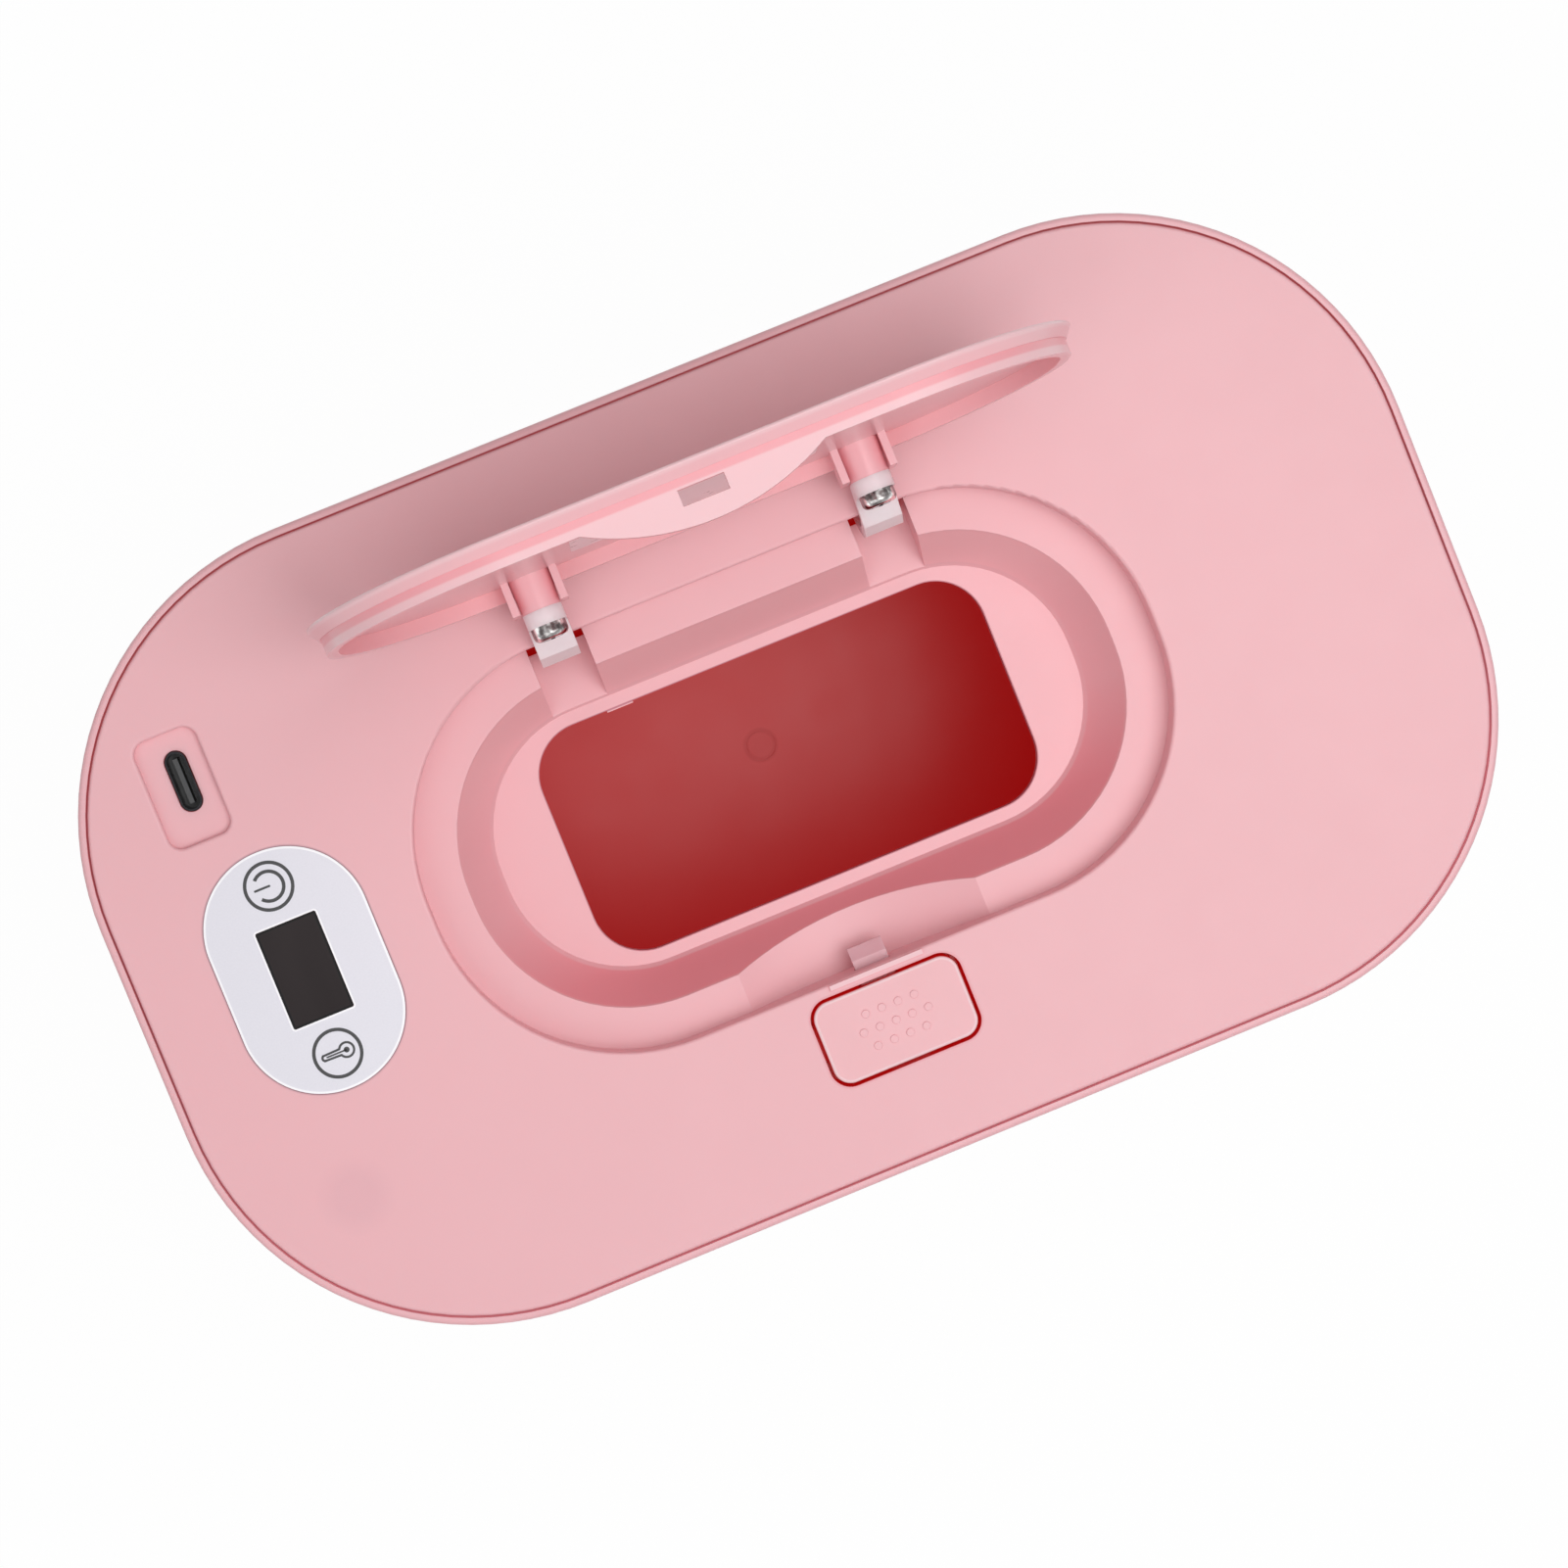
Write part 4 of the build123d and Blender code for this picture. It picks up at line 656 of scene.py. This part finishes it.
def pick(piece, wanted):
    """In edit mode, selects the vertices whose place passes the test."""
    bpy.ops.mesh.select_all(action="DESELECT")
    bpy.ops.object.mode_set(mode="OBJECT")
    for vertex in piece.data.vertices:
        vertex.select = wanted(vertex.co / MM)
    bpy.ops.object.mode_set(mode="EDIT")


def ink_disc(name, centre, radius, segments=96):
    """Starts an inked shape as a flat disc, in edit mode."""
    start_piece()
    bpy.ops.mesh.primitive_circle_add(vertices=segments, radius=radius * MM, fill_type="NGON")
    piece = bpy.context.object
    piece.name = name
    piece.location = (centre[0] * MM, centre[1] * MM, INK_Z * MM)
    bpy.ops.object.mode_set(mode="EDIT")
    bpy.ops.mesh.select_mode(type="VERT")
    return piece


def hollow(stroke):
    """Leaves only a band of ink along the outline of the selected face."""
    bpy.ops.mesh.select_all(action="SELECT")
    bpy.ops.mesh.inset(thickness=stroke * MM, depth=0.0)
    bpy.ops.mesh.delete(type="FACE")


def finish_ink(piece, ink):
    """Gives the ink its thickness and lays it in its place on the cover."""
    bpy.ops.mesh.select_all(action="SELECT")
    bpy.ops.mesh.extrude_region_move(TRANSFORM_OT_translate={"value": (0, 0, INK_THICKNESS * MM)})
    bpy.ops.mesh.select_all(action="SELECT")
    bpy.ops.mesh.normals_make_consistent(inside=False)
    bpy.ops.object.mode_set(mode="OBJECT")
    bpy.ops.object.transform_apply(location=True, rotation=True, scale=True)
    piece.data.materials.append(ink.material)
    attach(piece, "cover")


def icon_ring(name, centre, ink):
    piece = ink_disc(name, centre, RING_RADIUS)
    hollow(INK_STROKE)
    finish_ink(piece, ink)


def bar(name, start, end, half_width, ink):
    """Round-ended inked line along X."""
    middle = (start[0] + end[0]) / 2
    piece = ink_disc(name, (middle, start[1]), half_width, 24)
    reach = (end[0] - start[0]) / 2 - half_width
    for side in (-1, 1):
        pick(piece, lambda spot: spot.x * side > 1e-4)
        bpy.ops.transform.translate(value=(side * reach * MM, 0, 0))
    finish_ink(piece, ink)


def power_icon(ink):
    """An open arc with a stem through its gap."""
    arc = ink_disc("power_arc", POWER, ARC_RADIUS)
    hollow(INK_STROKE)
    pick(arc, lambda spot: spot.x < 0 and abs(spot.y) < hypot(spot.x, spot.y) * sin(radians(ARC_GAP)))
    bpy.ops.mesh.delete(type="VERT")
    finish_ink(arc, ink)
    bar("power_stem", (POWER[0] - STEM_REACH, POWER[1]), (POWER[0] + STEM_END, POWER[1]), STEM_HALF, ink)


def thermometer_icon(ink):
    """A bulb drawn out into a tube, with a line and a dot inside."""
    outline = ink_disc("thermometer_outline", BULB, BULB_RADIUS)
    pick(outline, lambda spot: spot.x < 0 and abs(spot.y) < TUBE_HALF)
    bpy.ops.transform.resize(value=(NECK_STRETCH, 1, 1), center_override=(
        (BULB[0] - NECK_REACH) * MM, BULB[1] * MM, INK_Z * MM))
    bpy.ops.transform.translate(value=(-TUBE_DRAW * MM, 0, 0))
    hollow(TUBE_STROKE)
    finish_ink(outline, ink)
    bar("thermometer_line", (BULB[0] - LINE_LENGTH, BULB[1]), BULB, LINE_HALF, ink)
    finish_ink(ink_disc("thermometer_dot", BULB, DOT_RADIUS, 32), ink)


icon_ink = plain("icon_ink", (0.012, 0.012, 0.014), (0.022, 0.022, 0.025), 900.0, 0.42)
icon_ring("power_ring", POWER, icon_ink)
icon_ring("thermometer_ring", THERMOMETER, icon_ink)
power_icon(icon_ink)
thermometer_icon(icon_ink)

# ---- Studio ----
FLOOR_SIZE, PAPER_WHITE = 4.0, (0.88, 0.88, 0.88, 1.0)
FLOOR_SEEN_WHITE = 0.97
ROOM_LIGHT = 0.27
LAMP_AIM = (0, 0, 80)


def seen_directly(nodes):
    """1 for what the camera, a gloss or a clear part sees, 0 for the light that falls on the object."""
    camera, gloss, clear = (nodes.add("ShaderNodeLightPath", {}, {}, name)
                            for name in ("Is Camera Ray", "Is Glossy Ray", "Is Transmission Ray"))
    return (camera + gloss + clear).clamped()


def lay_floor():
    """White paper that keeps the shadow of the box."""
    start_piece()
    bpy.ops.mesh.primitive_plane_add(size=FLOOR_SIZE)
    floor = bpy.context.object
    floor.name = "studio_floor"
    paper = Finish("white_paper", roughness=0.9, base_color=PAPER_WHITE)
    white = paper.add("ShaderNodeEmission", {}, {"Color": WHITE, "Strength": 1.0})
    body = Signal(paper, paper.shader.outputs[0])
    paper.show("Material Output", paper.add("ShaderNodeMixShader", {}, {
        0: seen_directly(paper) * FLOOR_SEEN_WHITE, 1: body, 2: white}))
    floor.data.materials.append(paper.material)


def light_room():
    """Soft even surround, white where it is seen."""
    world = bpy.data.worlds.new("studio_world")
    world.use_nodes = True
    bpy.context.scene.world = world
    surround = Nodes(world.node_tree)
    soft = surround.add("ShaderNodeBackground", {}, {"Color": WHITE, "Strength": ROOM_LIGHT})
    white = surround.add("ShaderNodeBackground", {}, {"Color": WHITE, "Strength": 1.0})
    surround.show("World Output", surround.add("ShaderNodeMixShader", {}, {
        0: seen_directly(surround), 1: soft, 2: white}))


def hang_lamp(name, place, size, power):
    """A square lamp aimed at the box, its size in metres and its power in watts."""
    bpy.ops.object.light_add(type="AREA", location=Vector(place) * MM)
    lamp = bpy.context.object
    lamp.name = name
    lamp.data.size = size
    lamp.data.energy = power
    lamp.rotation_euler = (Vector(LAMP_AIM) - Vector(place)).to_track_quat("-Z", "Y").to_euler()


lay_floor()
light_room()
hang_lamp("key_lamp", (260, -210, 1050), 0.6, 2.95)
hang_lamp("front_lamp", (-650, -350, 900), 0.9, 2.9)
hang_lamp("top_lamp", (200, 50, 700), 0.6, 1.55)

bpy.context.scene.view_settings.view_transform = "Standard"
